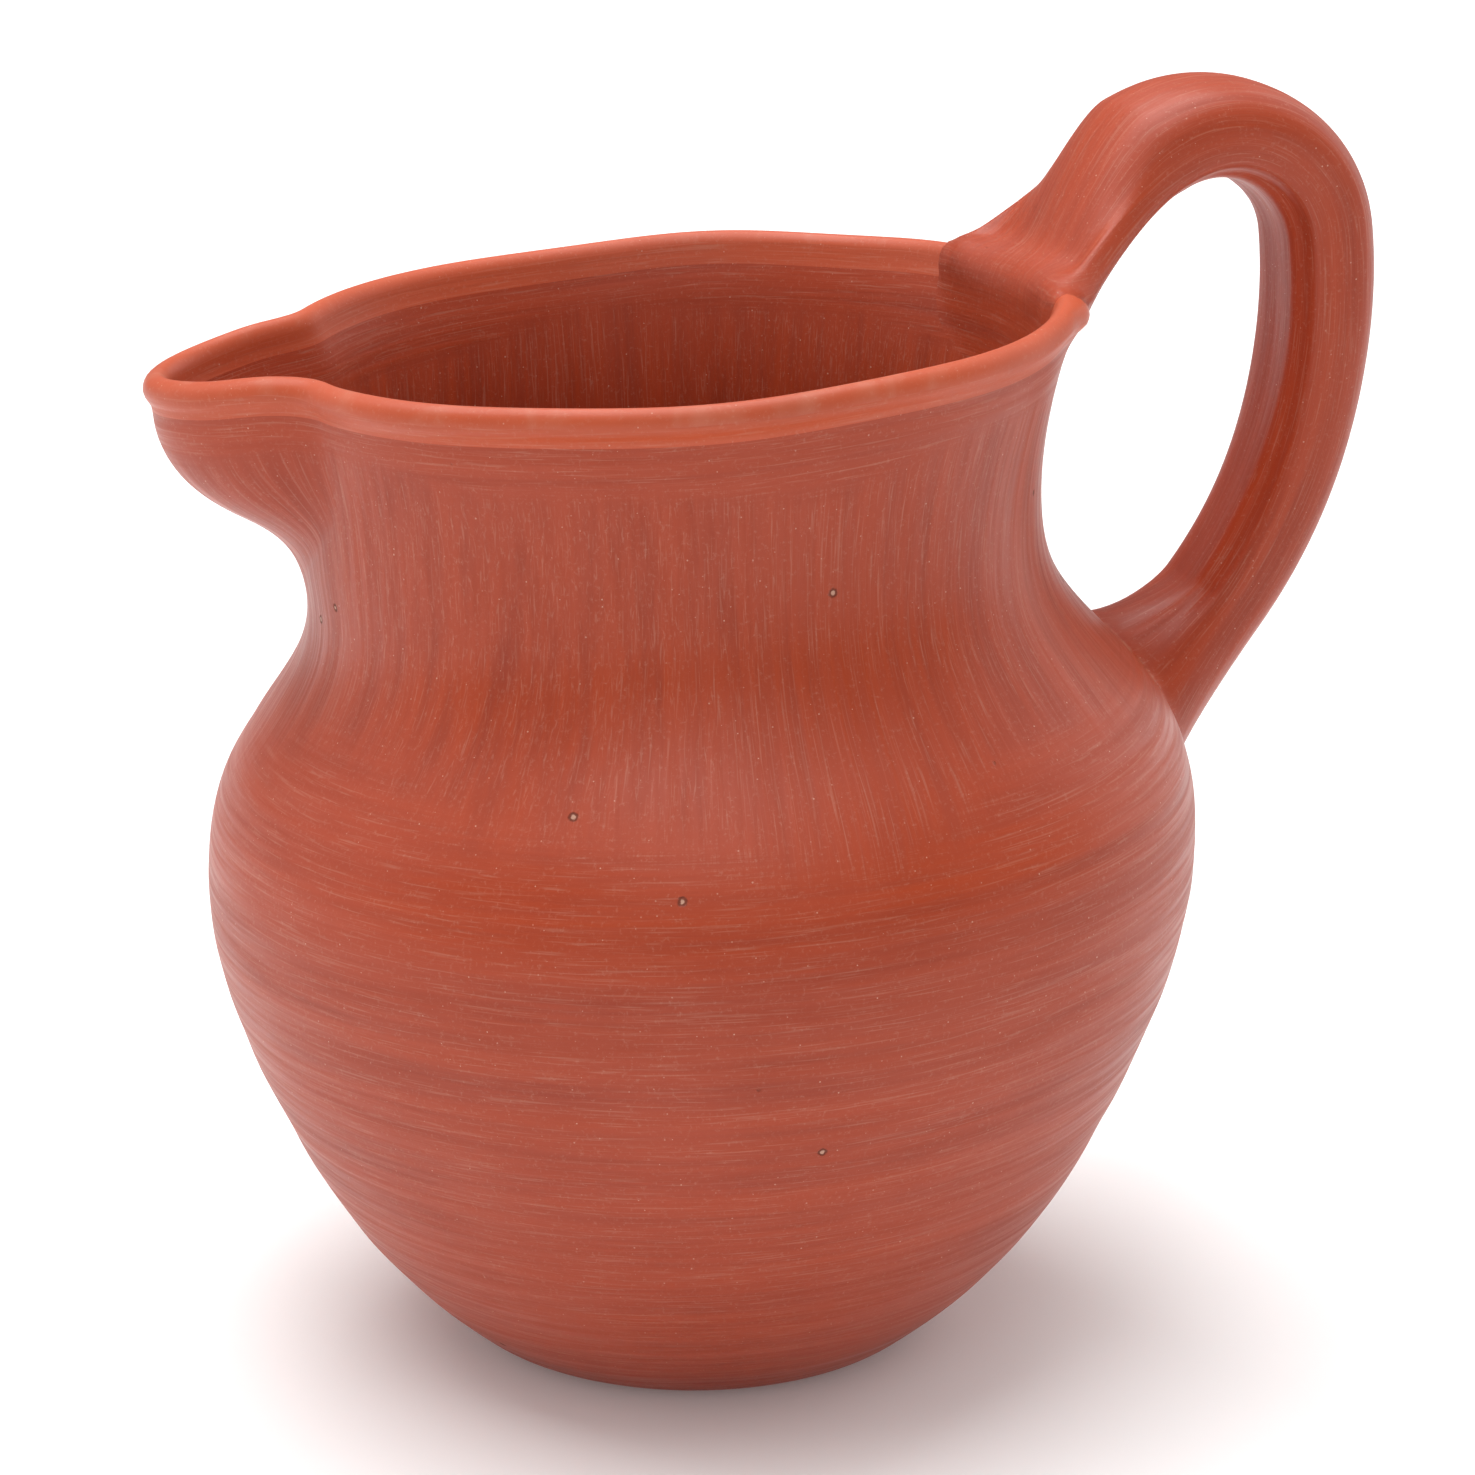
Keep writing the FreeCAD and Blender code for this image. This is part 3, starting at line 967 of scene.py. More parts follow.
@dataclass(frozen=True)
class BellyRoot:
    """Where the handle's lower end is pressed on to the shoulder."""

    turn_deg: float = 12.4
    height: float = 104.5
    half_height: float = 18.0
    pull_from_strap: float = 15.0
    pull_on_pot: float = 12.0
    pull_low: float = 0.35
    hub_height: float = 104.5
    hub_depth: float = 2.8

    def footprint(self, form: PotForm, round_: np.ndarray, grow: float) -> np.ndarray:
        """Place the root's outline on the pot.

        Args:
            form: The pot's form.
            round_: Angle around the outline in radians, nought on the strap's outer face.
            grow: How many times its size the outline is drawn.

        Returns:
            Points on the pot's skin.
        """
        turn = self.turn_deg * np.sin(round_) * grow
        return form.outside(turn, self.height - self.half_height * np.cos(round_) * grow)

    def pull(self, round_: np.ndarray) -> np.ndarray:
        """Read how strongly each line is drawn along the pot."""
        return self.pull_on_pot * (1.0 + self.pull_low * np.cos(round_))

    def clay_middle(self, form: PotForm, round_: np.ndarray) -> np.ndarray:
        """Place the outline in the middle of the wall."""
        turn = self.turn_deg * np.sin(round_)
        return form.wall_middle(turn, self.height - self.half_height * np.cos(round_))

    def settle(self, form: PotForm, loft: np.ndarray, share: np.ndarray) -> np.ndarray:
        """Leave the loft as it is, for it passes over nothing."""
        return loft


class Handle:
    """The strap and both its roots, as one tube that is cut into three pieces."""

    columns: int = 96
    loft_rows: int = 34
    joint_rows: int = 12
    tuck: float = 1.1
    stroke_spread: float = 11.0
    stroke_offset: float = 90.0
    stroke_rise_deg: float = 3.0
    squeeze: float = 0.03

    def __init__(
        self, form: PotForm, strap: StrapForm, rim_root: RimRoot, belly_root: BellyRoot, scale: float
    ) -> None:
        """Lay out the tube.

        Args:
            form: The pot's form.
            strap: The strap's form.
            rim_root: The root on the rim.
            belly_root: The root on the shoulder.
            scale: Metres in the frame for a drawn millimetre.
        """
        self.form = form
        self.strap = strap
        self.scale = scale
        self.round_ = np.arange(self.columns) * 2.0 * math.pi / self.columns
        spine, facing = strap.spine()
        rings = self.strap_rings(spine, facing)
        upper = self.root_rings(rim_root, rings[0], rings[1])[::-1]
        lower = self.root_rings(belly_root, rings[-1], rings[-2])
        self.points = np.concatenate([upper, rings, lower])
        self.ends = (self.facing(rim_root), self.facing(belly_root))
        self.cuts = (len(upper) - self.joint_rows, len(upper) + len(rings) - 1)

    def section(self, station: np.ndarray) -> tuple[np.ndarray, np.ndarray]:
        """Draw the strap's section.

        Args:
            station: Distance along the strap of each ring.

        Returns:
            Offsets along the outward direction and across the strap, rings by points.
        """
        strap = self.strap
        cosine = np.cos(self.round_)[None, :]
        sine = np.sin(self.round_)[None, :]
        power = np.where(cosine < 0.0, strap.inner_squareness, strap.squareness)
        size = (np.abs(cosine) ** power + np.abs(sine) ** power) ** (-1.0 / power)
        outward = size * cosine * strap.thick / 2.0
        across = size * sine * strap.width / 2.0
        degrees = np.degrees(self.round_)[None, :]
        along = station[:, None]
        crease = hump(turn_from(degrees, strap.crease_bearing), 0.0, strap.crease_width)
        hollow = hump(turn_from(degrees, 180.0), 0.0, strap.hollow_width) * strap.hollow_depth
        slow = 0.28 * np.sin(along / 17.0 + 2.0 * self.round_)
        slow = slow + 0.2 * np.sin(along / 9.0 - 3.0 * self.round_ + 1.0)
        inset = crease * (0.8 + 0.2 * np.sin(along / 13.0)) + hollow + strap.relief_room - slow * 0.4
        share = 1.0 - inset / (strap.thick / 2.0)
        flare = smooth_step(*strap.flare_reach, along)
        shift = strap.root_shift * flare
        return outward * share, across * share * (1.0 + strap.root_widening * flare) + shift

    def strap_rings(self, spine: np.ndarray, facing: np.ndarray) -> np.ndarray:
        """Sweep the section along the strap.

        Args:
            spine: The strap's middle line.
            facing: The outward direction at each station.

        Returns:
            Rings by points.
        """
        steps = np.linalg.norm(np.diff(spine, axis=0), axis=1)
        station = np.concatenate([[0.0], np.cumsum(steps)])
        outward, across = self.section(station)
        points = np.zeros(outward.shape + (3,))
        points[..., 0] = spine[:, None, 0] + facing[:, None, 0] * outward
        points[..., 1] = across
        points[..., 2] = spine[:, None, 1] + facing[:, None, 1] * outward
        return points

    def root_rings(self, root: RimRoot | BellyRoot, ring: np.ndarray, inner_ring: np.ndarray) -> np.ndarray:
        """Loft from the strap's end to the pot, arriving along its skin.

        Args:
            root: The root to reach.
            ring: The strap's last ring.
            inner_ring: The ring before it.

        Returns:
            Rings from the strap towards the pot, ending tucked under its skin.
        """
        start = ring.mean(axis=0)
        before = inner_ring.mean(axis=0)
        leaving = (start - before) / np.linalg.norm(start - before)
        end = root.footprint(self.form, self.round_, 1.0)
        beyond = root.footprint(self.form, self.round_, 1.03)
        landing = (beyond - end) / np.linalg.norm(beyond - end, axis=-1, keepdims=True)
        share = np.linspace(0.0, 1.0, self.loft_rows + 1)[1:, None, None]
        first = ring * (2 * share**3 - 3 * share**2 + 1) + end * (3 * share**2 - 2 * share**3)
        pulls = leaving * root.pull_from_strap * (share**3 - 2 * share**2 + share)
        pulls = pulls + landing * root.pull(self.round_)[:, None] * (share**3 - share**2)
        loft = root.settle(self.form, first + pulls, share)
        deep = root.clay_middle(self.form, self.round_) - end
        deep = deep / np.linalg.norm(deep, axis=-1, keepdims=True)
        return np.concatenate([loft, (end + deep * self.tuck)[None]])

    def facing(self, root: RimRoot | BellyRoot) -> np.ndarray:
        """Find which way the pot's skin faces along a root's outline.

        Args:
            root: The root whose outline it is.

        Returns:
            One unit normal for each point of the outline.
        """
        out = root.footprint(self.form, self.round_, 1.0) - root.clay_middle(self.form, self.round_)
        return out / np.linalg.norm(out, axis=-1, keepdims=True)

    def hub(self, root: RimRoot | BellyRoot) -> np.ndarray:
        """Find a point in the clay behind the middle of a root."""
        on_form = self.form.form_point(np.zeros(1), np.full(1, root.hub_height))[0]
        return on_form - np.array([root.hub_depth, 0.0, 0.0])

    def skin(self) -> Skin:
        """Dress the whole tube.

        Returns:
            The tube's skin from the rim root's end to the belly root's end.
        """
        points = self.points
        normals = np.concatenate([self.ends[0][None], -grid_normals(points[1:-1]), self.ends[1][None]])
        settled = smooth_step(5.0, 0.0, np.arange(len(points)) - 1.0)[:, None, None]
        normals = normals + (self.ends[0] - normals) * settled
        normals = normals + (self.ends[1] - normals) * settled[::-1]
        normals = normals / np.linalg.norm(normals, axis=-1, keepdims=True)
        middles = points.mean(axis=1)
        steps = np.linalg.norm(np.diff(middles, axis=0), axis=1)
        along = np.concatenate([[0.0], np.cumsum(steps)])[:, None]
        shape = points.shape[:2]
        round_ = np.broadcast_to(self.round_, shape)
        spread = self.stroke_spread
        along = np.broadcast_to(along, shape)
        beside = spread * np.sin(round_) + self.stroke_offset
        upright = np.stack([spread * np.cos(round_), beside, along * self.squeeze], axis=-1)
        rise = math.tan(math.radians(self.stroke_rise_deg))
        height = points[..., 2] - points[..., 0] * rise
        level = np.stack([points[..., 0] * self.squeeze, points[..., 1] * self.squeeze, height], axis=-1)
        place = np.broadcast_to(np.arange(len(points))[:, None], shape)
        last = len(points) - 2
        seam = smooth_step(5.0, 1.0, last - place)
        near = np.maximum(smooth_step(16.0, 3.0, place - 1.0), smooth_step(11.0, 3.0, last - place))
        return Skin(points, normals, level, upright, 1.0 - near, seam)

    def piece(
        self, name: str, rows: slice, hubs: tuple[np.ndarray | None, np.ndarray | None]
    ) -> bpy.types.Object:
        """Build one closed piece of the tube.

        Args:
            name: The piece's name.
            rows: The rings it takes.
            hubs: The middle of the cap at each end, or None for the ring's own middle.

        Returns:
            The new object.
        """
        solid = Solid(self.scale)
        skin = self.skin().part(rows)
        rings, columns = skin.share.shape
        start = solid.add_skin(skin)
        row, column = np.meshgrid(np.arange(rings - 1), np.arange(columns), indexing="ij")
        after = (column + 1) % columns
        here = row * columns
        beyond = here + columns
        corners = [here + column, beyond + column, beyond + after, here + after]
        solid.add_faces(start + np.stack([c.ravel() for c in corners], axis=1))
        for ring, hub, turned in ((0, hubs[0], False), (rings - 1, hubs[1], True)):
            edge = skin.points[ring]
            middle = edge.mean(axis=0) if hub is None else hub
            cap = Skin(
                middle[None, None],
                np.array([[[0.0, 0.0, 1.0]]]),
                np.zeros((1, 1, 3)),
                np.zeros((1, 1, 3)),
                np.ones((1, 1)),
                np.zeros((1, 1)),
            )
            point = solid.add_skin(cap)
            around = start + ring * columns + np.arange(columns)
            fan = np.stack([around, np.roll(around, -1), np.full(columns, point)], axis=1)
            solid.add_faces(fan[:, ::-1] if turned else fan, flat=True)
        return solid.build(name)


# ---------------------------------------------------------------------------
# Finishes
# ---------------------------------------------------------------------------


class NodeSheet:
    """A short hand for laying nodes in a tree."""

    def __init__(self, tree: bpy.types.NodeTree) -> None:
        """Keep the tree."""
        self.tree = tree
        self.place = 0

    def node(self, kind: str, settings: dict[str, object] | None = None, **inputs: object) -> bpy.types.Node:
        """Add a node.

        Args:
            kind: The node's type.
            settings: Its own properties.
            **inputs: A value or an output socket for each input, by name or by `i` and its number.

        Returns:
            The node.
        """
        node = self.tree.nodes.new(kind)
        node.location = (self.place * 190.0, -(self.place % 5) * 120.0)
        self.place += 1
        for name, value in (settings or {}).items():
            setattr(node, name, value)
        for name, value in inputs.items():
            key = int(name[1:]) if name[0] == "i" and name[1:].isdigit() else name.replace("_", " ")
            self.feed(node.inputs[key], value)
        return node

    def feed(self, socket: Socket, value: object) -> None:
        """Set or link one input."""
        if isinstance(value, Socket):
            self.tree.links.new(value, socket)
        else:
            socket.default_value = value

    def math(self, operation: str, first: object, second: object) -> Socket:
        """Add a sum of two values.

        Args:
            operation: Blender's name for the sum.
            first: The first value.
            second: The second value.

        Returns:
            The result's socket.
        """
        return self.node("ShaderNodeMath", {"operation": operation}, i0=first, i1=second).outputs[0]

    def vector(self, operation: str, first: object, second: object) -> Socket:
        """Add a vector sum.

        Args:
            operation: Blender's name for the sum.
            first: The first vector.
            second: The second vector.

        Returns:
            The result's socket.
        """
        return self.node("ShaderNodeVectorMath", {"operation": operation}, i0=first, i1=second).outputs[0]

    def mix(self, share: object, first: object, second: object) -> Socket:
        """Mix two colours.

        Args:
            share: How much of the second.
            first: The first colour.
            second: The second colour.

        Returns:
            The mixed colour's socket.
        """
        node = self.node("ShaderNodeMix", {"data_type": "RGBA"}, i0=share, i6=first, i7=second)
        return node.outputs[2]

    def between(self, share: object, first: object, second: object) -> Socket:
        """Mix two values.

        Args:
            share: How much of the second.
            first: The first value.
            second: The second value.

        Returns:
            The mixed value's socket.
        """
        node = self.node("ShaderNodeMix", {"data_type": "FLOAT"}, i0=share, i2=first, i3=second)
        return node.outputs[0]

    def ramp(
        self, value: object, low: float, high: float, to_low: float = 0.0, to_high: float = 1.0
    ) -> Socket:
        """Stretch a value smoothly from one range to another.

        Args:
            value: The value.
            low: Where the range starts.
            high: Where the range ends.
            to_low: The result at low.
            to_high: The result at high.

        Returns:
            The result's socket.
        """
        node = self.node(
            "ShaderNodeMapRange",
            {"interpolation_type": "SMOOTHSTEP"},
            i0=value, i1=low, i2=high, i3=to_low, i4=to_high,
        )
        return node.outputs[0]

    def noise(self, vector: object, scale: float, detail: float = 2.0, roughness: float = 0.5) -> Socket:
        """Add a noise.

        Args:
            vector: Where it is read.
            scale: Waves for a unit of the vector.
            detail: Its octaves.
            roughness: How strong the finer octaves are.

        Returns:
            The noise's value.
        """
        node = self.node(
            "ShaderNodeTexNoise", None, Vector=vector, Scale=scale, Detail=detail, Roughness=roughness
        )
        return node.outputs[0]


@dataclass(frozen=True)
class SurfaceEffect:
    """A node group that several finishes share."""

    name: str

    def group(
        self, inputs: tuple[tuple[str, str, object], ...], outputs: tuple[tuple[str, str], ...]
    ) -> tuple[bpy.types.NodeTree, NodeSheet, bpy.types.Node, bpy.types.Node]:
        """Open the group.

        Args:
            inputs: Name, socket type and default of each input.
            outputs: Name and socket type of each output.

        Returns:
            The tree, its sheet, its input node and its output node.
        """
        tree = bpy.data.node_groups.new(self.name, "ShaderNodeTree")
        for name, kind, default in inputs:
            socket = tree.interface.new_socket(name=name, in_out="INPUT", socket_type=kind)
            socket.default_value = default
        for name, kind in outputs:
            tree.interface.new_socket(name=name, in_out="OUTPUT", socket_type=kind)
        sheet = NodeSheet(tree)
        return tree, sheet, sheet.node("NodeGroupInput"), sheet.node("NodeGroupOutput")


FLOAT = "NodeSocketFloat"
VECTOR = "NodeSocketVector"
COLOR = "NodeSocketColor"


@dataclass(frozen=True)
class BurnishStrokes(SurfaceEffect):
    """Long thin strokes that a burnishing stone leaves, wide faint bands and fine bright lines."""

    name: str = "burnish_strokes"

    def build(self) -> bpy.types.NodeTree:
        """Build the group.

        Returns:
            The group's tree.
        """
        tree, sheet, given, result = self.group(
            (("Level", VECTOR, (0, 0, 0)), ("Upright", VECTOR, (0, 0, 0)), ("Share", FLOAT, 0.0)),
            (("Bands", FLOAT), ("Lines", FLOAT), ("Scratches", FLOAT)),
        )
        outputs = {}
        for title, scale, detail, low, high in (
            ("Bands", 0.22, 2.0, 0.30, 0.70),
            ("Lines", 0.75, 3.0, 0.30, 0.70),
            ("Scratches", 2.6, 2.0, 0.52, 0.72),
        ):
            pair = []
            for way in ("Level", "Upright"):
                warp = sheet.noise(given.outputs[way], scale * 0.35, 1.0)
                warped = sheet.vector("ADD", given.outputs[way], sheet.math("MULTIPLY", warp, 1.6))
                pair.append(sheet.noise(warped, scale, detail, 0.6))
            outputs[title] = sheet.ramp(sheet.between(given.outputs["Share"], *pair), low, high)
            sheet.feed(result.inputs[title], outputs[title])
        return tree


@dataclass(frozen=True)
class MicaSpecks(SurfaceEffect):
    """Tiny pale flecks of mica, and now and then a small pit with a dark edge."""

    name: str = "mica_specks"
    fleck_scale: float = 0.85
    pit_scale: float = 0.085
    pit_share: float = 0.32
    dust_scale: float = 1.3

    def build(self) -> bpy.types.NodeTree:
        """Build the group.

        Returns:
            The group's tree.
        """
        tree, sheet, given, result = self.group(
            (("Place", VECTOR, (0, 0, 0)), ("Amount", FLOAT, 0.5)),
            (("Flecks", FLOAT), ("Pit Rim", FLOAT), ("Pit Floor", FLOAT), ("Dust", FLOAT)),
        )
        place = given.outputs["Place"]
        amount = given.outputs["Amount"]
        cell = sheet.node("ShaderNodeTexVoronoi", {"feature": "F1"}, Vector=place, Scale=self.fleck_scale)
        chance = sheet.node("ShaderNodeSeparateColor", None, Color=cell.outputs["Color"])
        keep = sheet.math("LESS_THAN", chance.outputs[0], sheet.math("MULTIPLY", amount, 0.5))
        width = sheet.math("MULTIPLY_ADD", chance.outputs[1], 0.09)
        sheet.feed(width.node.inputs[2], 0.05)
        spot = sheet.math("LESS_THAN", cell.outputs["Distance"], width)
        bright = sheet.math("MULTIPLY_ADD", chance.outputs[2], 0.7)
        sheet.feed(bright.node.inputs[2], 0.3)
        flecks = sheet.math("MULTIPLY", sheet.math("MULTIPLY", keep, spot), bright)
        sheet.feed(result.inputs["Flecks"], flecks)
        pit = sheet.node("ShaderNodeTexVoronoi", {"feature": "F1"}, Vector=place, Scale=self.pit_scale)
        which = sheet.node("ShaderNodeSeparateColor", None, Color=pit.outputs["Color"])
        rough = sheet.noise(place, 1.6, 2.0)
        distance = sheet.math("MULTIPLY_ADD", rough, 0.05)
        sheet.feed(distance.node.inputs[2], pit.outputs["Distance"])
        rare = sheet.math("LESS_THAN", which.outputs[0], sheet.math("MULTIPLY", amount, self.pit_share))
        rim = sheet.math("MULTIPLY", sheet.ramp(distance, 0.075, 0.105, 1.0, 0.0), rare)
        floor = sheet.math("MULTIPLY", sheet.ramp(distance, 0.05, 0.066, 1.0, 0.0), rare)
        sheet.feed(result.inputs["Pit Rim"], rim)
        sheet.feed(result.inputs["Pit Floor"], floor)
        sheet.feed(result.inputs["Dust"], sheet.noise(place, self.dust_scale, 4.0, 0.7))
        return tree


@dataclass(frozen=True)
class ClayFinish:
    """Burnished red clay, with the values that differ over the pot."""

    name: str
    light: tuple[float, float, float, float]
    dark: tuple[float, float, float, float]
    warm: tuple[float, float, float, float]
    pale: tuple[float, float, float, float] = (0.62, 0.36, 0.26, 1.0)
    pit: tuple[float, float, float, float] = (0.10, 0.030, 0.016, 1.0)
    band_depth: float = 0.55
    speck_amount: float = 0.5
    rough_low: float = 0.36
    rough_high: float = 0.56
    coat: float = 0.12
    coat_roughness: float = 0.32
    ior: float = 1.36
    cloud_depth: float = 0.55
    line_depth: float = 0.28
    scratch_depth: float = 0.16
    dust_depth: float = 0.22
    fleck_depth: float = 0.75
    pit_rim_depth: float = 0.7
    pit_floor_depth: float = 0.8
    joint_depth: float = 0.6
    bump_mm: float = 0.05
    band_relief: float = 0.8
    line_relief: float = 0.5
    dust_relief: float = 0.25
    pit_relief: float = 4.0

    def build(
        self, strokes: bpy.types.NodeTree, specks: bpy.types.NodeTree, scale: float
    ) -> bpy.types.Material:
        """Build the material.

        Args:
            strokes: The burnish stroke group.
            specks: The mica speck group.
            scale: Metres in the frame for a drawn millimetre.

        Returns:
            The material.
        """
        material = bpy.data.materials.new(self.name)
        material.use_nodes = True
        tree = material.node_tree
        tree.nodes.clear()
        sheet = NodeSheet(tree)
        layers = {
            layer: sheet.node(
                "ShaderNodeAttribute", {"attribute_name": layer.value, "attribute_type": "GEOMETRY"}
            )
            for layer in Layer
        }
        place = sheet.node("ShaderNodeTexCoord").outputs["Object"]
        enlarged = sheet.node("ShaderNodeVectorMath", {"operation": "SCALE"}, i0=place, Scale=1.0 / scale)
        millimetres = enlarged.outputs[0]
        stroke = sheet.node(
            "ShaderNodeGroup",
            {"node_tree": strokes},
            Level=layers[Layer.LEVEL].outputs["Vector"],
            Upright=layers[Layer.UPRIGHT].outputs["Vector"],
            Share=layers[Layer.SHARE].outputs["Fac"],
        )
        fleck = sheet.node(
            "ShaderNodeGroup", {"node_tree": specks}, Place=millimetres, Amount=self.speck_amount
        )
        cloud = sheet.ramp(sheet.noise(millimetres, 0.035, 3.0, 0.55), 0.3, 0.7)
        band = sheet.math("MULTIPLY", stroke.outputs["Bands"], self.band_depth)
        tone = sheet.mix(band, self.dark, self.light)
        tone = sheet.mix(sheet.math("MULTIPLY", cloud, self.cloud_depth), tone, self.warm)
        lines = sheet.math("MULTIPLY", stroke.outputs["Lines"], self.line_depth)
        tone = sheet.mix(lines, tone, self.light)
        scratch = sheet.math("MULTIPLY", stroke.outputs["Scratches"], self.scratch_depth)
        tone = sheet.mix(scratch, tone, self.pale)
        dusty = sheet.ramp(fleck.outputs["Dust"], 0.52, 0.8, 0.0, self.dust_depth)
        tone = sheet.mix(dusty, tone, self.pale)
        for output, depth, colour in (
            ("Flecks", self.fleck_depth, self.pale),
            ("Pit Rim", self.pit_rim_depth, self.pit),
            ("Pit Floor", self.pit_floor_depth, self.pale),
        ):
            tone = sheet.mix(sheet.math("MULTIPLY", fleck.outputs[output], depth), tone, colour)
        broken = sheet.ramp(sheet.noise(millimetres, 0.55, 3.0, 0.7), 0.42, 0.62)
        joint = sheet.math("MULTIPLY", layers[Layer.SEAM].outputs["Fac"], broken)
        tone = sheet.mix(sheet.math("MULTIPLY", joint, self.joint_depth), tone, self.pale)
        rough = sheet.between(stroke.outputs["Lines"], self.rough_high, self.rough_low)
        rough = sheet.math("ADD", rough, sheet.math("MULTIPLY", fleck.outputs["Pit Rim"], 0.3))
        rough = sheet.math("ADD", rough, sheet.math("MULTIPLY", joint, 0.2))
        rise = sheet.math("MULTIPLY", stroke.outputs["Bands"], self.band_relief)
        for output, relief in (
            (stroke.outputs["Lines"], self.line_relief),
            (fleck.outputs["Dust"], self.dust_relief),
            (fleck.outputs["Pit Rim"], -self.pit_relief),
        ):
            rise = sheet.math("ADD", rise, sheet.math("MULTIPLY", output, relief))
        bump = sheet.node("ShaderNodeBump", None, Strength=1.0, Distance=self.bump_mm * scale, Height=rise)
        normal = bump.outputs[0]
        shader = sheet.node("ShaderNodeBsdfPrincipled", None, Base_Color=tone, Roughness=rough, Normal=normal)
        shader.inputs["Coat Weight"].default_value = self.coat
        shader.inputs["Coat Roughness"].default_value = self.coat_roughness
        shader.inputs["IOR"].default_value = self.ior
        ending = sheet.node("ShaderNodeOutputMaterial")
        tree.links.new(shader.outputs[0], ending.inputs["Surface"])
        return material


# ---------------------------------------------------------------------------
# The studio
# ---------------------------------------------------------------------------


@dataclass(frozen=True)
class Softbox:
    """One square lamp and where it hangs."""

    name: str
    azimuth_deg: float
    elevation_deg: float
    away: float
    size: float
    power: float


@dataclass(frozen=True)
class Studio:
    """A pale floor, soft light and the camera."""

    target_height: float = 0.090
    distance: float = 0.800
    azimuth_deg: float = -21.0
    elevation_deg: float = 18.54
    lens: float = 107.39
    shift_x: float = 0.0243
    shift_y: float = 0.0717
    room_strength: float = 0.26
    floor_half: float = 6.0
    floor_drop: float = 0.0004
    floor_shade: float = 0.92
    floor_roughness: float = 0.7
    glow_near: tuple[float, float] = (0.3, 0.1)
    glow_far: tuple[float, float] = (2.2, 0.8)
    softboxes: tuple[Softbox, ...] = (
        Softbox("key", -20.0, 50.0, 1.6, 1.2, 3.8),
        Softbox("left_back", -122.0, 24.0, 1.5, 1.4, 4.0),
        Softbox("right_back", 104.0, 24.0, 1.5, 1.4, 6.6),
        Softbox("top", -150.0, 80.0, 1.5, 1.6, 34.0),
    )

    def direction(self, azimuth: float, elevation: float) -> np.ndarray:
        """Point from the object towards a place in the room.

        Args:
            azimuth: Degrees from the front, anticlockwise from above.
            elevation: Degrees above the floor.

        Returns:
            A unit vector.
        """
        a = math.radians(azimuth)
        e = math.radians(elevation)
        return np.array([math.sin(a) * math.cos(e), -math.cos(a) * math.cos(e), math.sin(e)])

    def aim(self, item: bpy.types.Object, place: np.ndarray, target: np.ndarray) -> None:
        """Put something in place and turn it to a target."""
        item.location = place.tolist()
        facing = Vector((target - place).tolist())
        item.rotation_euler = facing.to_track_quat("-Z", "Y").to_euler()

    def build(self) -> None:
        """Build the floor, the lights and the camera."""
        target = np.array([0.0, 0.0, self.target_height])
        self.floor()
        camera_data = bpy.data.cameras.new("camera")
        camera_data.lens = self.lens
        camera_data.sensor_width = 36.0
        camera_data.shift_x = self.shift_x
        camera_data.shift_y = self.shift_y
        camera_data.clip_start = 0.01
        camera = bpy.data.objects.new("camera", camera_data)
        bpy.context.scene.collection.objects.link(camera)
        sight = self.direction(self.azimuth_deg, self.elevation_deg)
        self.aim(camera, target + self.distance * sight, target)
        bpy.context.scene.camera = camera
        bpy.context.scene.view_settings.view_transform = "Standard"
        for softbox in self.softboxes:
            light = bpy.data.lights.new(softbox.name, "AREA")
            light.shape = "SQUARE"
            light.size = softbox.size
            light.energy = softbox.power
            lamp = bpy.data.objects.new(softbox.name, light)
            bpy.context.scene.collection.objects.link(lamp)
            lamp.visible_camera = False
            away = softbox.away * self.direction(softbox.azimuth_deg, softbox.elevation_deg)
            self.aim(lamp, target + away, target)
        world = bpy.data.worlds.new("room")
        bpy.context.scene.world = world
        world.use_nodes = True
        world.node_tree.nodes["Background"].inputs["Color"].default_value = (1.0, 1.0, 1.0, 1.0)
        world.node_tree.nodes["Background"].inputs["Strength"].default_value = self.room_strength

    def floor(self) -> None:
        """Lay the pale floor that the pot stands on."""
        half = self.floor_half
        mesh = bpy.data.meshes.new("floor")
        corners = [(-half, -half, 0), (half, -half, 0), (half, half, 0), (-half, half, 0)]
        mesh.from_pydata(corners, [], [(0, 1, 2, 3)])
        floor = bpy.data.objects.new("floor", mesh)
        floor.location.z = -self.floor_drop
        bpy.context.scene.collection.objects.link(floor)
        material = bpy.data.materials.new("pale_floor")
        material.use_nodes = True
        shader = material.node_tree.nodes["Principled BSDF"]
        shader.inputs["Base Color"].default_value = (self.floor_shade,) * 3 + (1.0,)
        shader.inputs["Roughness"].default_value = self.floor_roughness
        shader.inputs["Emission Color"].default_value = (1.0, 1.0, 1.0, 1.0)
        sheet = NodeSheet(material.node_tree)
        place = sheet.node("ShaderNodeTexCoord").outputs["Object"]
        far = sheet.node("ShaderNodeVectorMath", {"operation": "LENGTH"}, i0=place).outputs["Value"]
        (near, low), (away, high) = self.glow_near, self.glow_far
        sheet.feed(shader.inputs["Emission Strength"], sheet.ramp(far, near, away, low, high))
        mesh.materials.append(material)


# ---------------------------------------------------------------------------
# Building it all
# ---------------------------------------------------------------------------

WALL_LIGHT = (0.47, 0.062, 0.016, 1.0)
WALL_DARK = (0.31, 0.038, 0.012, 1.0)
WALL_WARM = (0.40, 0.058, 0.022, 1.0)
RIM_LIGHT = (0.55, 0.092, 0.034, 1.0)
RIM_DARK = (0.45, 0.074, 0.028, 1.0)


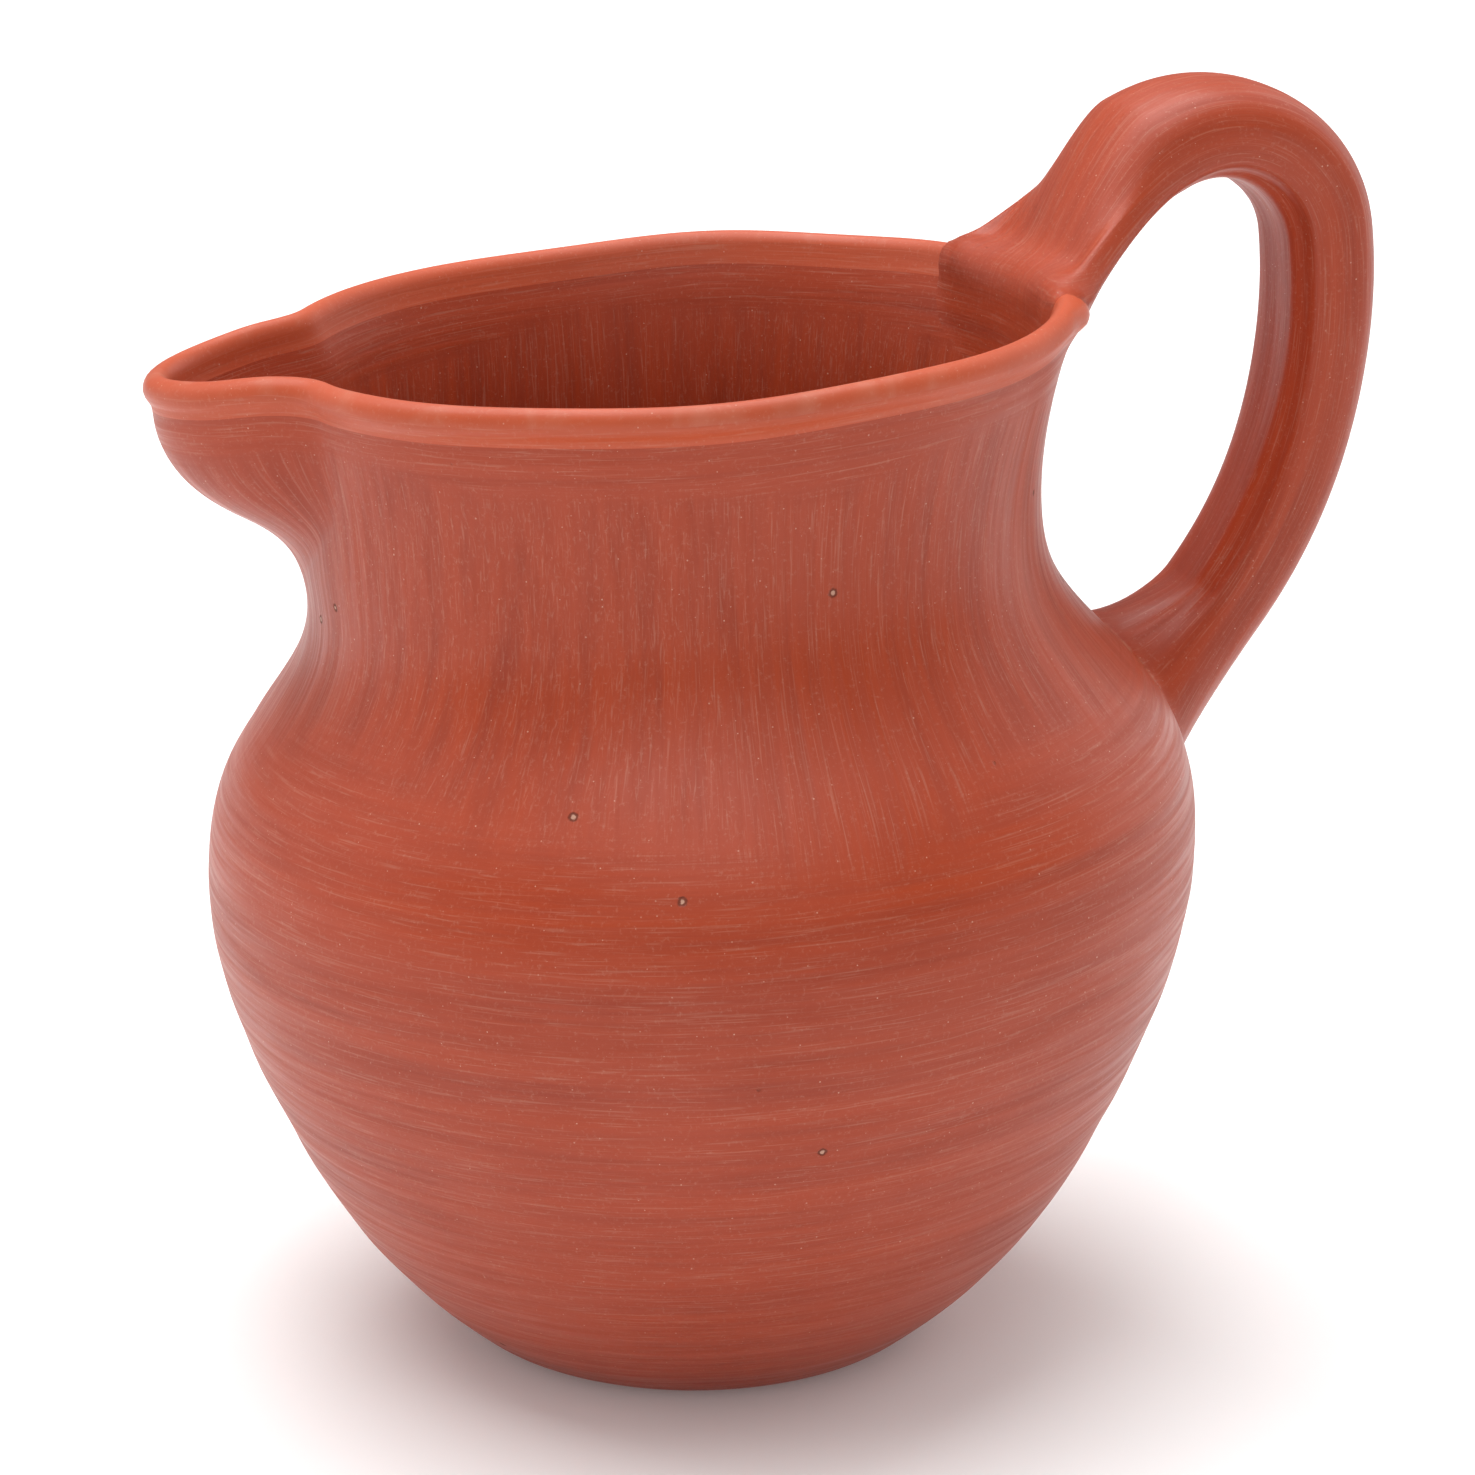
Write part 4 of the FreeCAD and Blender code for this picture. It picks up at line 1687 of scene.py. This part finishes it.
def main() -> None:
    """Build every piece and report it."""
    logging.basicConfig(level=logging.INFO, format="%(message)s")
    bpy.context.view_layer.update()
    low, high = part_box("belly_wall")
    form = PotForm()
    scale = (high.y - low.y) / (form.widest + form.relief_room)
    pot = Pot(form, scale)
    strap_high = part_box("handle_strap")[1]
    strap = StrapForm(reach=strap_high.x / scale, top=strap_high.z / scale)
    rim_root = RimRoot()
    belly_root = BellyRoot()
    handle = Handle(form, strap, rim_root, belly_root, scale)
    strokes = BurnishStrokes().build()
    specks = MicaSpecks().build()
    finishes = (
        ClayFinish("burnished_wall", WALL_LIGHT, WALL_DARK, WALL_WARM),
        ClayFinish("burnished_rim", RIM_LIGHT, RIM_DARK, RIM_LIGHT, band_depth=0.8),
        ClayFinish("burnished_handle", WALL_LIGHT, WALL_DARK, WALL_WARM, speck_amount=0.65),
    )
    wall, rim, loop = (finish.build(strokes, specks, scale) for finish in finishes)
    rim_low = form.brim - pot.rim_depth
    spout_cells = pot.cells(form.waist, rim_low, (form.spout_bearing, pot.spout_half_turn))
    floor_top, heel_top, belly_line, neck_root = pot.belts
    pieces = (
        ("base_disc", pot.cells(-math.inf, floor_top), wall),
        ("lower_wall", pot.cells(floor_top, heel_top), wall),
        ("belly_wall", pot.cells(heel_top, belly_line), wall),
        ("shoulder_wall", pot.cells(belly_line, neck_root), wall),
        ("neck_collar", pot.cells(neck_root, rim_low) & ~spout_cells, wall),
        ("spout", spout_cells, wall),
        ("rim_coil", pot.cells(rim_low, math.inf), rim),
    )
    built = [(pot.piece(f"{name}_clay", cells), name, finish) for name, cells, finish in pieces]
    first, second = handle.cuts
    tubes = (
        ("handle_upper_joint", slice(0, first + 1), (handle.hub(rim_root), None)),
        ("handle_strap", slice(first, second + 1), (None, None)),
        ("handle_lower_joint", slice(second, None), (None, handle.hub(belly_root))),
    )
    built += [(handle.piece(f"{name}_clay", rows, hubs), name, loop) for name, rows, hubs in tubes]
    for piece, node, finish in built:
        piece.data.materials.append(finish)
        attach(piece, "root")
        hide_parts(node)
        LOG.info("%s: %d faces", piece.name, len(piece.data.polygons))
    Studio().build()


if __name__ == "__main__":
    main()
